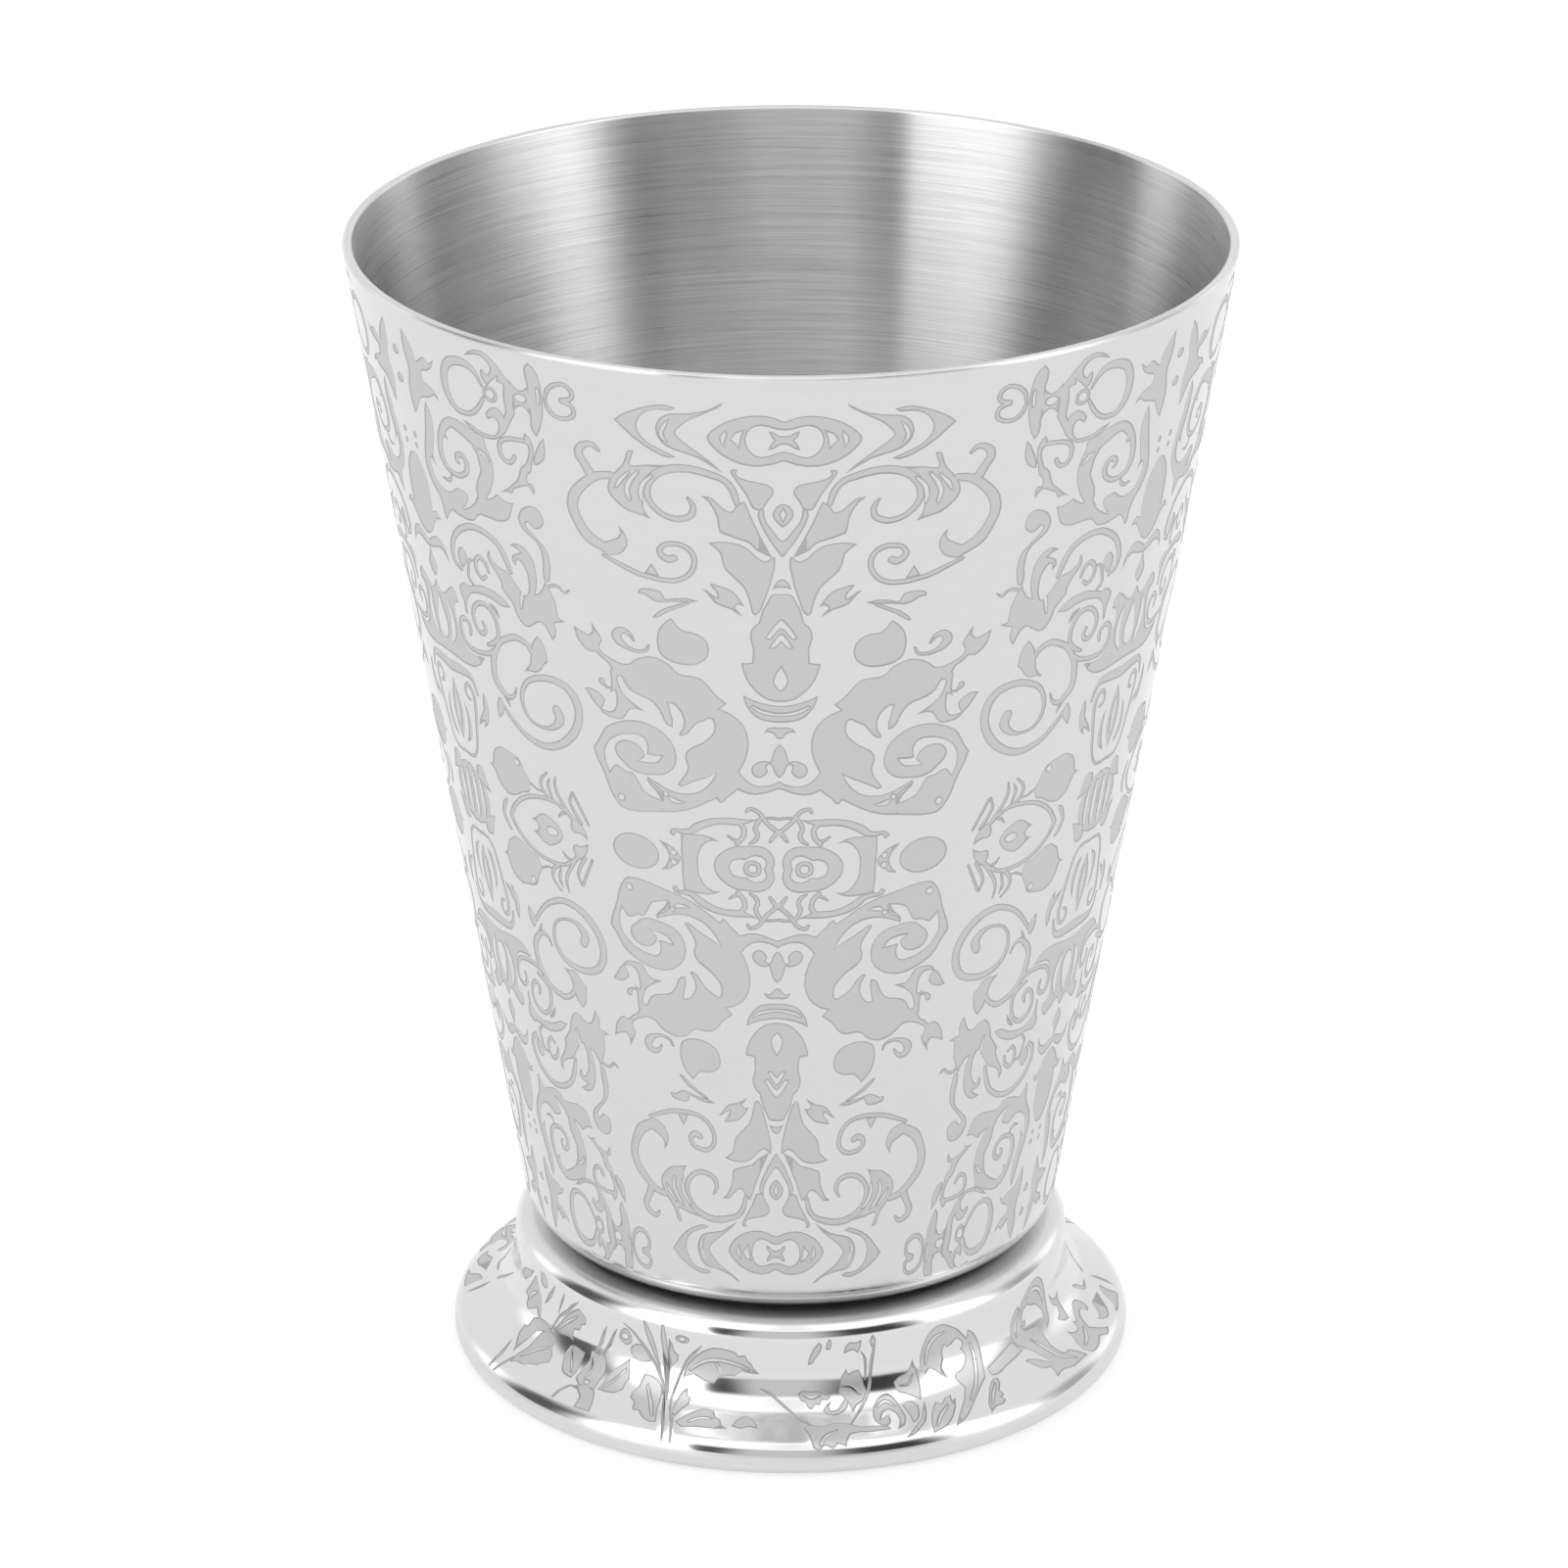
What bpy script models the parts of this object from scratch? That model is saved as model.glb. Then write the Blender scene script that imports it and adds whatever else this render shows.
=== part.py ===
"""Footed steel tumbler: a drawn cup, a spun foot and the braze ring that joins them.

Units are metres with +Z up. The origin is at the centre of the foot, on the surface that it stands on.
Every piece is a turned outline of (radius, height) points around the Z axis.
"""

import math

import bpy

MM = 0.001

# Cup, measured on its outside: the wall's line runs from the rim to the plane of the floor's underside
RIM_DIAMETER = 84.0 * MM
CUP_BASE_DIAMETER = 51.7 * MM
CUP_HEIGHT = 99.7 * MM
CUP_WALL = 0.9 * MM
CUP_FLOOR = 0.9 * MM
CUP_CORNER_INNER_RADIUS = 2.1 * MM
RIM_EDGE_RADIUS = 0.3 * MM

# Foot, from its shoulder down to its standing hem: the bends are measured on the inside of the sheet
FOOT_SHEET = 0.8 * MM
FOOT_NECK_OVERHANG = 1.45 * MM
FOOT_SHOULDER_INNER_RADIUS = 1.1 * MM
FOOT_NECK_LENGTH = 2.5 * MM
FOOT_COVE_RADIUS = 4.6 * MM
FOOT_FLANGE_SLOPE = math.radians(25.0)
FOOT_FLANGE_LENGTH = 2.57 * MM
FOOT_LIP_INNER_RADIUS = 1.3 * MM
FOOT_LIP_SKIRT = 0.4 * MM
FOOT_HEM_INNER_RADIUS = 0.1 * MM
FOOT_HEM_WIDTH = 2.0 * MM

# Braze ring between the foot's top and the flat of the cup's floor
BRAZE_INSET = 3.3 * MM
BRAZE_WIDTH = 6.0 * MM
BRAZE_THICKNESS = 0.3 * MM
SEAT_CLEARANCE = 0.3 * MM

# Smoothness of the turned pieces
TURN_STEPS = 72
ARC_STEP = math.radians(18.0)

# Radii that follow from the sizes above, outside of the sheet
CUP_BASE_RADIUS = CUP_BASE_DIAMETER / 2
RIM_RADIUS = RIM_DIAMETER / 2
TAPER = math.atan2(RIM_RADIUS - CUP_BASE_RADIUS, CUP_HEIGHT)
CUP_CORNER_RADIUS = CUP_CORNER_INNER_RADIUS + CUP_WALL
SHOULDER_RADIUS = FOOT_SHOULDER_INNER_RADIUS + FOOT_SHEET
LIP_RADIUS = FOOT_LIP_INNER_RADIUS + FOOT_SHEET
HEM_RADIUS = FOOT_HEM_INNER_RADIUS + FOOT_SHEET
NECK_RADIUS = CUP_BASE_RADIUS + FOOT_NECK_OVERHANG
COVE_CENTER_RADIUS = NECK_RADIUS + FOOT_COVE_RADIUS
COVE_END_RADIUS = COVE_CENTER_RADIUS - FOOT_COVE_RADIUS * math.sin(FOOT_FLANGE_SLOPE)
LIP_START_RADIUS = COVE_END_RADIUS + FOOT_FLANGE_LENGTH * math.cos(FOOT_FLANGE_SLOPE)
LIP_CENTER_RADIUS = LIP_START_RADIUS - LIP_RADIUS * math.sin(FOOT_FLANGE_SLOPE)
FOOT_RADIUS = LIP_CENTER_RADIUS + LIP_RADIUS

# Heights that follow, from the standing surface up
LIP_CENTER_HEIGHT = HEM_RADIUS + FOOT_LIP_SKIRT
LIP_START_HEIGHT = LIP_CENTER_HEIGHT + LIP_RADIUS * math.cos(FOOT_FLANGE_SLOPE)
COVE_END_HEIGHT = LIP_START_HEIGHT + FOOT_FLANGE_LENGTH * math.sin(FOOT_FLANGE_SLOPE)
COVE_CENTER_HEIGHT = COVE_END_HEIGHT + FOOT_COVE_RADIUS * math.cos(FOOT_FLANGE_SLOPE)
SHOULDER_CENTER_HEIGHT = COVE_CENTER_HEIGHT + FOOT_NECK_LENGTH
FOOT_HEIGHT = SHOULDER_CENTER_HEIGHT + SHOULDER_RADIUS
BRAZE_BOTTOM = FOOT_HEIGHT + SEAT_CLEARANCE
CUP_BOTTOM = BRAZE_BOTTOM + BRAZE_THICKNESS + SEAT_CLEARANCE
CUP_TOP = CUP_BOTTOM + CUP_HEIGHT


def clear_scene():
    """Remove whatever the file held before."""
    for item in list(bpy.data.objects):
        bpy.data.objects.remove(item, do_unlink=True)


def metal(name, color, roughness):
    """Return a metal material.

    Args:
        name: the material's name.
        color: its red, green and blue, each 0 to 1.
        roughness: its Principled roughness.
    """
    material = bpy.data.materials.new(name)
    material.use_nodes = True
    shader = material.node_tree.nodes["Principled BSDF"]
    shader.inputs["Base Color"].default_value = (*color, 1.0)
    shader.inputs["Metallic"].default_value = 1.0
    shader.inputs["Roughness"].default_value = roughness
    return material


def arc(center, radius, start, end):
    """Return points along an arc, both ends included.

    Args:
        center: the arc's centre as (radius, height).
        radius: the arc's own radius.
        start: the first angle, in radians from the outward direction towards up.
        end: the last angle.
    """
    steps = max(2, math.ceil(abs(end - start) / ARC_STEP - 1e-9))
    points = []
    for step in range(steps + 1):
        angle = start + (end - start) * step / steps
        points.append((center[0] + radius * math.cos(angle), center[1] + radius * math.sin(angle)))
    return points


def turned_piece(name, outline, material, closed=False):
    """Turn an outline around the Z axis into a named solid.

    Args:
        name: the object's name.
        outline: (radius, height) points that run down the outer side.
        material: the piece's material.
        closed: whether the last point joins the first, as on a ring.
    """
    mesh = bpy.data.meshes.new(name)
    edges = [(index, index + 1) for index in range(len(outline) - 1)]
    if closed:
        edges.append((len(outline) - 1, 0))
    mesh.from_pydata([(radius, 0.0, height) for radius, height in outline], edges, [])
    mesh.materials.append(material)
    piece = bpy.data.objects.new(name, mesh)
    bpy.context.scene.collection.objects.link(piece)
    turn = piece.modifiers.new("Turn", "SCREW")
    turn.axis = "Z"
    turn.angle = math.tau
    turn.steps = TURN_STEPS
    turn.render_steps = TURN_STEPS
    turn.use_merge_vertices = True
    turn.merge_threshold = 0.00001
    turn.use_smooth_shade = True
    return piece


def cup_wall_radius(height, depth):
    """Return the wall's radius at a height, a given depth below its outer surface.

    Args:
        height: height above the standing surface.
        depth: distance into the wall, square to its surface.
    """
    return CUP_BASE_RADIUS + (height - CUP_BOTTOM) * math.tan(TAPER) - depth / math.cos(TAPER)


def cup_bend(height, radius, depth):
    """Return the centre and radius of a bend between the wall and a level face below it.

    Args:
        height: height of the level face.
        radius: the bend's radius.
        depth: depth of the wall's face below the cup's outer surface.
    """
    center_height = height + radius
    return (cup_wall_radius(center_height, depth + radius), center_height), radius


def cup_outline():
    """Return the cup's outline: inner floor, inner wall, rim, outer wall and underside."""
    quarter = math.pi / 2
    edge = min(RIM_EDGE_RADIUS, CUP_WALL / 3)
    edge_height = CUP_TOP - edge
    rim_inner = (cup_wall_radius(edge_height, CUP_WALL - edge), edge_height)
    rim_outer = (cup_wall_radius(edge_height, edge), edge_height)
    floor_top = CUP_BOTTOM + CUP_FLOOR
    return (
        [(0.0, floor_top)]
        + arc(*cup_bend(floor_top, CUP_CORNER_INNER_RADIUS, CUP_WALL), -quarter, -TAPER)
        + arc(rim_inner, edge, math.pi - TAPER, quarter)
        + arc(rim_outer, edge, quarter, -TAPER)
        + arc(*cup_bend(CUP_BOTTOM, CUP_CORNER_RADIUS, 0.0), -TAPER, -quarter)
        + [(0.0, CUP_BOTTOM)]
    )


def foot_skin(depth):
    """Return the foot's outline from the edge of its top to the end of its hem's bend.

    Args:
        depth: distance into the sheet from its outer surface.
    """
    quarter = math.pi / 2
    slope = FOOT_FLANGE_SLOPE
    shoulder_center = (NECK_RADIUS - SHOULDER_RADIUS, SHOULDER_CENTER_HEIGHT)
    cove_center = (COVE_CENTER_RADIUS, COVE_CENTER_HEIGHT)
    lip_center = (LIP_CENTER_RADIUS, LIP_CENTER_HEIGHT)
    hem_center = (FOOT_RADIUS - HEM_RADIUS, HEM_RADIUS)
    return (
        arc(shoulder_center, SHOULDER_RADIUS - depth, quarter, 0.0)
        + arc(cove_center, FOOT_COVE_RADIUS + depth, math.pi, 3 * quarter - slope)
        + arc(lip_center, LIP_RADIUS - depth, quarter - slope, 0.0)
        + arc(hem_center, HEM_RADIUS - depth, 0.0, -quarter)
    )


def foot_outline():
    """Return the foot's outline: top, outer skin, standing hem, inner skin and the top's underside."""
    hem_end = FOOT_RADIUS - HEM_RADIUS - FOOT_HEM_WIDTH
    return (
        [(0.0, FOOT_HEIGHT)]
        + foot_skin(0.0)
        + [(hem_end, 0.0), (hem_end, FOOT_SHEET)]
        + foot_skin(FOOT_SHEET)[::-1]
        + [(0.0, FOOT_HEIGHT - FOOT_SHEET)]
    )


def braze_outline():
    """Return the braze ring's outline, clear of the foot's top and of the flat of the cup's floor."""
    bend_center, _ = cup_bend(CUP_BOTTOM, CUP_CORNER_RADIUS, 0.0)
    outer = bend_center[0] - BRAZE_INSET
    inner = outer - BRAZE_WIDTH
    top = BRAZE_BOTTOM + BRAZE_THICKNESS
    return [(outer, top), (outer, BRAZE_BOTTOM), (inner, BRAZE_BOTTOM), (inner, top)]


def main():
    """Build the tumbler's pieces."""
    clear_scene()
    turned_piece("cup_body", cup_outline(), metal("etched_steel", (0.80, 0.80, 0.79), 0.22))
    turned_piece("foot", foot_outline(), metal("mirror_steel", (0.86, 0.86, 0.86), 0.06))
    turned_piece("braze_ring", braze_outline(), metal("braze_filler", (0.72, 0.70, 0.64), 0.45), closed=True)


main()
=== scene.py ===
"""Looks of the footed steel tumbler: an etched, polished cup with a brushed inside on a mirror-polished foot.

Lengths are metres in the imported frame. The etched drawings are flat: degrees around and millimetres along the
skin. They are cut into flat meshes, which Geometry Nodes mirror, repeat and wrap round the piece.
"""

import logging
import math
import re
from dataclasses import dataclass, field
from enum import Enum, IntEnum

import bmesh
import bpy
import numpy as np
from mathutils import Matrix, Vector
from mathutils.geometry import delaunay_2d_cdt


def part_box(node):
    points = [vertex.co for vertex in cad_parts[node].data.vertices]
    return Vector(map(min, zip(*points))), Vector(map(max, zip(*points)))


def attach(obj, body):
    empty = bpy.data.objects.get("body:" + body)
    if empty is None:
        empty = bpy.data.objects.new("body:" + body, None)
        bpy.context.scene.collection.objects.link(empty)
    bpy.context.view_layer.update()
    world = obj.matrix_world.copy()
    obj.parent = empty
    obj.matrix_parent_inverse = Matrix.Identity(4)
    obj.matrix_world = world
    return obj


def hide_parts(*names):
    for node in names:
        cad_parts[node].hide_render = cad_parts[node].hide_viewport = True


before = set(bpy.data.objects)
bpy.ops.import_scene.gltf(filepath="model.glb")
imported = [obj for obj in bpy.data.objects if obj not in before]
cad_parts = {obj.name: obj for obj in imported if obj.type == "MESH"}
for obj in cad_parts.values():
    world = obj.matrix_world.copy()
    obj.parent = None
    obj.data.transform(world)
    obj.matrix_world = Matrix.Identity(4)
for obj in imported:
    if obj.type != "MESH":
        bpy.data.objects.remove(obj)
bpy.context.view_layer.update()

MM = 0.001
LOG = logging.getLogger("tumbler")

# Fineness of the drawings: steps along a curve, round an oval and round a stroke's end, then millimetres
CURVE_STEPS = 8
OVAL_STEPS = 28
CAP_STEPS = 5
OUTLINE_TOLERANCE = 0.035
GRID_CLEARANCE = 0.3
CUT_PRECISION = 1e-5
TINY = 1e-6
TINIEST = 1e-12

# Height of the scrollwork's level mirror line in its drawing, in millimetres
SCROLL_DATUM = -0.55

# Least squared length of two added normals at a moved corner, and least share of its way that it keeps
MITRE_LIMIT = 0.6
CLEAR_SHARE = 0.93

# Millimetres below the level mirror line where the arch sets in, eases and ends, and its loss as it eases
ARCH_START = (0.0, 5.0)
ARCH_EASE = (16.0, 43.0)
ARCH_END = (42.5, 47.0)
ARCH_LOSS = 0.45

# Degrees from the first mirror line where a hanging medallion is level again
SAG_REACH = 24.0

# Fineness of the turned outlines, with how far the inner wall's rows stay from its ends
MERGE_DISTANCE = 0.002 * MM
CLEARANCE = 0.02 * MM
ARC_STEP = math.radians(5.0)
INNER_ROWS = 24
WALL_ENDS = (1.0 * MM, 2.0 * MM)

# Shares of the radius at which the level discs have their rings
FLOOR_SHARES = (0.75, 0.5, 0.25, 0.05, 0.0)
UNDERSIDE_SHARES = (1.0, 0.5, 0.0)
FOOT_SHARES = (0.6, 0.2, 0.0)

# Place of the brushed finish among a piece's finishes, after the kinds of skin
BRUSHED = 3

Point = tuple[float, float]
Rings = list[tuple[list[Point], int]]


class Skin(IntEnum):
    """What a face of an etched skin is."""

    POLISHED = 0
    EDGE = 1
    FROSTED = 2


class Layer(Enum):
    """What a shape of a motif is, by the word before it, in the order that the layers are laid."""

    ETCHED = ""
    BARE = "bare"
    INLAID = "inlaid"


class Lay(Enum):
    """How the fine turning lines run over a turned piece, as the sign of height against radius."""

    CUP = 1.0
    FOOT = -1.0


class Wire:
    """A node's output that takes part in sums, each of which adds its Math node."""

    def __init__(self, graph: "Graph", socket: bpy.types.NodeSocket) -> None:
        """Keep the socket and the graph it belongs to."""
        self.graph = graph
        self.socket = socket

    def math(self, operation: str, *values: object) -> "Wire":
        """Return a Math node's output.

        Args:
            operation: the Math node's operation.
            values: its inputs, as numbers or wires.

        Returns:
            The node's result.
        """
        return self.graph.wire("ShaderNodeMath", dict(enumerate(values)), operation=operation)

    def __add__(self, other: object) -> "Wire":
        """Return the sum."""
        return self.math("ADD", self, other)

    def __radd__(self, other: object) -> "Wire":
        """Return the sum."""
        return self.math("ADD", other, self)

    def __sub__(self, other: object) -> "Wire":
        """Return the difference."""
        return self.math("SUBTRACT", self, other)

    def __rsub__(self, other: object) -> "Wire":
        """Return the difference."""
        return self.math("SUBTRACT", other, self)

    def __mul__(self, other: object) -> "Wire":
        """Return the product."""
        return self.math("MULTIPLY", self, other)

    def __rmul__(self, other: object) -> "Wire":
        """Return the product."""
        return self.math("MULTIPLY", other, self)


class Graph:
    """A node tree that is being filled."""

    def __init__(self, tree: bpy.types.NodeTree) -> None:
        """Keep the tree."""
        self.tree = tree

    def node(self, kind: str, sockets: dict | None = None, **settings: object) -> bpy.types.Node:
        """Add a node.

        Args:
            kind: the node's type.
            sockets: its inputs by name or place, as values or wires.
            settings: its settings, which are set first.

        Returns:
            The new node.
        """
        made = self.tree.nodes.new(kind)
        for name, value in settings.items():
            setattr(made, name, value)
        for key, value in (sockets or {}).items():
            if isinstance(value, Wire):
                self.tree.links.new(value.socket, made.inputs[key])
            else:
                made.inputs[key].default_value = value
        return made

    def wire(self, kind: str, sockets: dict | None = None, output: str | int = 0, **settings: object) -> Wire:
        """Add a node and return one of its outputs.

        Args:
            kind: the node's type.
            sockets: its inputs.
            output: the output's name or place.
            settings: its settings.

        Returns:
            That output.
        """
        return Wire(self, self.node(kind, sockets, **settings).outputs[output])

    def split(self, vector: Wire) -> list[Wire]:
        """Return a vector's three parts."""
        parts = self.node("ShaderNodeSeparateXYZ", {0: vector})
        return [Wire(self, part) for part in parts.outputs]

    def place(self) -> Wire:
        """Return the shaded point's place on its object."""
        return self.wire("ShaderNodeTexCoord", output="Object")

    def ramp(self, value: Wire, start: float, end: float) -> Wire:
        """Return a smooth step from 0 to 1.

        Args:
            value: what the step goes by.
            start: the value where it leaves 0.
            end: the value where it reaches 1.

        Returns:
            The step.
        """
        ends = {"Value": value, "From Min": start, "From Max": end}
        return self.wire("ShaderNodeMapRange", ends, interpolation_type="SMOOTHSTEP")

    def mixed(self, share: Wire, first: object, second: object) -> Wire:
        """Return the mix of two colours.

        Args:
            share: how much of the second there is, from 0 to 1.
            first: one colour.
            second: the other colour.

        Returns:
            The mixed colour.
        """
        return self.wire("ShaderNodeMix", {"Factor": share, 6: first, 7: second}, 2, data_type="RGBA")


class ShapeTree(Graph):
    """A Geometry Nodes tree with named inputs."""

    def __init__(self, name: str) -> None:
        """Make an empty tree that takes and gives a mesh.

        Args:
            name: the tree's name.
        """
        super().__init__(bpy.data.node_groups.new(name, "GeometryNodeTree"))
        self.identifiers: dict[str, str] = {}
        for way in ("OUTPUT", "INPUT"):
            self.tree.interface.new_socket("Geometry", in_out=way, socket_type="NodeSocketGeometry")
        self.entry = self.node("NodeGroupInput")
        self.shape = Wire(self, self.entry.outputs[0])

    def input(self, name: str, kind: str = "NodeSocketFloat") -> Wire:
        """Add a named input.

        Args:
            name: the input's name.
            kind: its socket type.

        Returns:
            The input as a wire.
        """
        item = self.tree.interface.new_socket(name, in_out="INPUT", socket_type=kind)
        self.identifiers[name] = item.identifier
        return Wire(self, self.entry.outputs[name])

    def step(self, kind: str, sockets: dict | None = None, **settings: object) -> None:
        """Pass the shape through one more node.

        Args:
            kind: the node's type.
            sockets: its inputs beside the shape.
            settings: its settings.
        """
        self.shape = self.wire(kind, {0: self.shape, **(sockets or {})}, **settings)

    def close(self) -> None:
        """End the tree with the shape as its output."""
        self.node("NodeGroupOutput", {0: self.shape})

    def attach(self, piece: bpy.types.Object, values: dict[str, object]) -> None:
        """Put the tree on a piece as a modifier.

        Args:
            piece: the piece that gets the modifier.
            values: the inputs' values by name.
        """
        modifier = piece.modifiers.new(self.tree.name, "NODES")
        modifier.node_group = self.tree
        for name, value in values.items():
            modifier[self.identifiers[name]] = value


def emptied(owner: bpy.types.Material | bpy.types.World) -> Graph:
    """Empty the nodes of a material or a world.

    Args:
        owner: the material or world.

    Returns:
        Its nodes.
    """
    owner.use_nodes = True
    owner.node_tree.nodes.clear()
    return Graph(owner.node_tree)


def grey(tone: float) -> tuple[float, float, float, float]:
    """Return a grey as a colour."""
    return tone, tone, tone, 1.0


def linked(name: str, data: bpy.types.ID) -> bpy.types.Object:
    """Return a new object in the scene.

    Args:
        name: its name.
        data: its mesh, curve or camera.

    Returns:
        The object.
    """
    made = bpy.data.objects.new(name, data)
    bpy.context.scene.collection.objects.link(made)
    return made


@dataclass(frozen=True)
class Finish:
    """A metal finish that varies a little with a fine pattern.

    Attributes:
        name: the material's name.
        tone: its grey.
        roughness: its mean roughness.
        tone_change: how much the pattern changes the grey, as a share.
        sheen_change: how much the pattern changes the roughness.
    """

    name: str
    tone: float
    roughness: float
    tone_change: float = 0.05
    sheen_change: float = 0.05

    def pattern(self, graph: Graph) -> Wire:
        """Return the pattern, from 0 to 1 and about one half on average."""
        raise NotImplementedError

    def extras(self, graph: Graph, pattern: Wire) -> dict[str, object]:
        """Return the shader's inputs beside metal, colour and roughness."""
        raise NotImplementedError

    def make(self) -> bpy.types.Material:
        """Return the finish as a material."""
        material = bpy.data.materials.new(self.name)
        graph = emptied(material)
        pattern = self.pattern(graph)
        dark, light = (grey(self.tone * (1 + change)) for change in (-self.tone_change, self.tone_change))
        shader = graph.wire("ShaderNodeBsdfPrincipled", {
            "Metallic": 1.0,
            "Base Color": graph.mixed(pattern, dark, light),
            "Roughness": self.roughness + 2 * self.sheen_change * (pattern - 0.5),
            **self.extras(graph, pattern),
        })
        graph.node("ShaderNodeOutputMaterial", {"Surface": shader})
        return material


@dataclass(frozen=True)
class Steel(Finish):
    """A steel finish with fine turning lines.

    Attributes:
        lay: how the turning lines run.
        line_length: length of a turning line.
        line_pitch: distance between turning lines.
        stretch: how much the gloss is drawn out across the lines.
    """

    tone_change: float = 0.03
    sheen_change: float = 0.03
    lay: Lay = Lay.CUP
    line_length: float = 9 * MM
    line_pitch: float = 0.25 * MM
    stretch: float = 0.0

    def pattern(self, graph: Graph) -> Wire:
        """Return noise drawn out round the Z axis.

        Args:
            graph: the material's nodes.

        Returns:
            The noise.
        """
        x, y, z = graph.split(graph.place())
        radius = x.math("SQRT", x * x + y * y)
        along = self.lay.value * z + radius
        around = 1 / self.line_length
        across = 1 / self.line_pitch
        turned = graph.wire("ShaderNodeCombineXYZ", {0: x * around, 1: y * around, 2: along * across})
        noise = {"Vector": turned, "Scale": 1.0, "Detail": 4.0, "Roughness": 0.65}
        return graph.wire("ShaderNodeTexNoise", noise, "Fac")

    def extras(self, graph: Graph, pattern: Wire) -> dict[str, object]:
        """Return the stretch of the gloss, if there is any."""
        return {"Anisotropic": self.stretch, "Anisotropic Rotation": 0.25} if self.stretch else {}


@dataclass(frozen=True)
class Etch(Finish):
    """An acid-etched finish: matt, with a fine even grain.

    Attributes:
        grain: size of the grain.
        relief: height of the grain.
    """

    grain: float = 0.18 * MM
    relief: float = 0.004 * MM

    def pattern(self, graph: Graph) -> Wire:
        """Return the grain's noise."""
        noise = {"Vector": graph.place(), "Scale": 1 / self.grain, "Detail": 2.0}
        return graph.wire("ShaderNodeTexNoise", noise, "Fac")

    def extras(self, graph: Graph, pattern: Wire) -> dict[str, object]:
        """Return the grain's relief."""
        bump = {"Distance": self.relief, "Height": pattern}
        return {"Normal": graph.wire("ShaderNodeBump", bump, "Normal")}


@dataclass(frozen=True)
class Chart:
    """Scale and mirror lines of a flat drawing.

    Attributes:
        degree: millimetres that one degree is drawn as.
        upright: degrees of the upright mirror lines.
        level: heights of the level mirror lines.
    """

    degree: float
    upright: tuple[float, ...] = ()
    level: tuple[float, ...] = ()

    def read(self, path: str) -> tuple[list[np.ndarray], list[bool]]:
        """Return a path's points in millimetres, and which of them are corners.

        Args:
            path: points as "degrees,millimetres" or "degrees,millimetres,width", with ! after a corner. A
                width that is left out is the one before.

        Returns:
            The points and the marks.
        """
        points = []
        corners = []
        for word in path.split():
            corners.append(word.endswith("!"))
            around, *rest = (float(part) for part in word.rstrip("!").split(","))
            width = points[-1][1 + len(rest):] if points else []
            points.append(np.array([around * self.degree, *rest, *width]))
        return points, corners

    def line(self, first: np.ndarray, last: np.ndarray) -> tuple[int, float] | None:
        """Return the mirror line that two points lie on.

        Args:
            first: one point.
            last: the other point.

        Returns:
            The line's axis and place, or None.
        """
        upright = [(0, value * self.degree) for value in self.upright]
        for axis, value in upright + [(1, value) for value in self.level]:
            if abs(first[axis] - value) < TINY and abs(last[axis] - value) < TINY:
                return axis, value
        return None


def reflected(point: np.ndarray, line: tuple[int, float]) -> np.ndarray:
    """Return the mirror image of a point or of several.

    Args:
        point: the point.
        line: the mirror line's axis and place.

    Returns:
        The image.
    """
    image = point.copy()
    image[..., line[0]] = 2 * line[1] - image[..., line[0]]
    return image


def eased(value: np.ndarray, start: float, end: float) -> np.ndarray:
    """Return a smooth step from 0 to 1.

    Args:
        value: what the step goes by.
        start: the value where it leaves 0.
        end: the value where it reaches 1.

    Returns:
        The step.
    """
    share = np.clip((value - start) / (end - start), 0, 1)
    return share * share * (3 - 2 * share)


def smooth_step(
    before: np.ndarray, start: np.ndarray, end: np.ndarray, after: np.ndarray
) -> list[np.ndarray]:
    """Return points from start up to end along a centripetal curve.

    Args:
        before: the point before start.
        start: where the step starts.
        end: where it ends.
        after: the point after end.

    Returns:
        The points, without end itself.
    """
    knots = [0.0]
    controls = (before, start, end, after)
    for first, second in zip(controls, controls[1:]):
        knots.append(knots[-1] + max(np.linalg.norm(second[:2] - first[:2]), TINY) ** 0.5)
    at = (knots[1] + (knots[2] - knots[1]) * np.arange(CURVE_STEPS) / CURVE_STEPS)[:, None]

    def between(low: int, high: int, a: np.ndarray, b: np.ndarray) -> np.ndarray:
        """Return the mixes of two points at the steps between two knots."""
        return a + (b - a) * (at - knots[low]) / (knots[high] - knots[low])

    one, two, three = (between(index, index + 1, *controls[index:index + 2]) for index in range(3))
    return list(between(1, 2, between(0, 2, one, two), between(1, 3, two, three)))


def smooth_run(points: list[np.ndarray], corners: list[bool], closed: bool) -> np.ndarray:
    """Return points along a smooth curve that turns sharply at its corners.

    Args:
        points: the points that the curve goes through.
        corners: which of them are corners.
        closed: whether the curve runs back to its first point.

    Returns:
        The curve's points.
    """
    count = len(points)
    run = []
    for index in range(count if closed else count - 1):
        following = (index + 1) % count
        start, end = points[index], points[following]
        before, after = points[index - 1], points[(index + 2) % count]
        if corners[index] or (not closed and index == 0):
            before = 2 * start - end
        if corners[following] or (not closed and following == count - 1):
            after = 2 * end - start
        run += smooth_step(before, start, end, after)
    if not closed:
        run.append(points[-1])
    return np.array(run)


@dataclass(frozen=True)
class Shape:
    """A shape of a drawing.

    Attributes:
        path: the numbers that it is drawn from.
    """

    path: str

    def outline(self, chart: Chart) -> np.ndarray:
        """Return the closed outline in millimetres."""
        raise NotImplementedError


class Leaf(Shape):
    """A closed shape of smooth runs that meet at corners.

    Where its path starts and ends on one mirror line, its image completes it.
    """

    def outline(self, chart: Chart) -> np.ndarray:
        """Return the outline in millimetres.

        Args:
            chart: the drawing's chart.

        Returns:
            The outline's points.
        """
        points, corners = chart.read(self.path)
        line = chart.line(points[0], points[-1])
        if line:
            points += [reflected(point, line) for point in points[-2:0:-1]]
            corners += corners[-2:0:-1]
        return smooth_run(points, corners, True)


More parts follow.
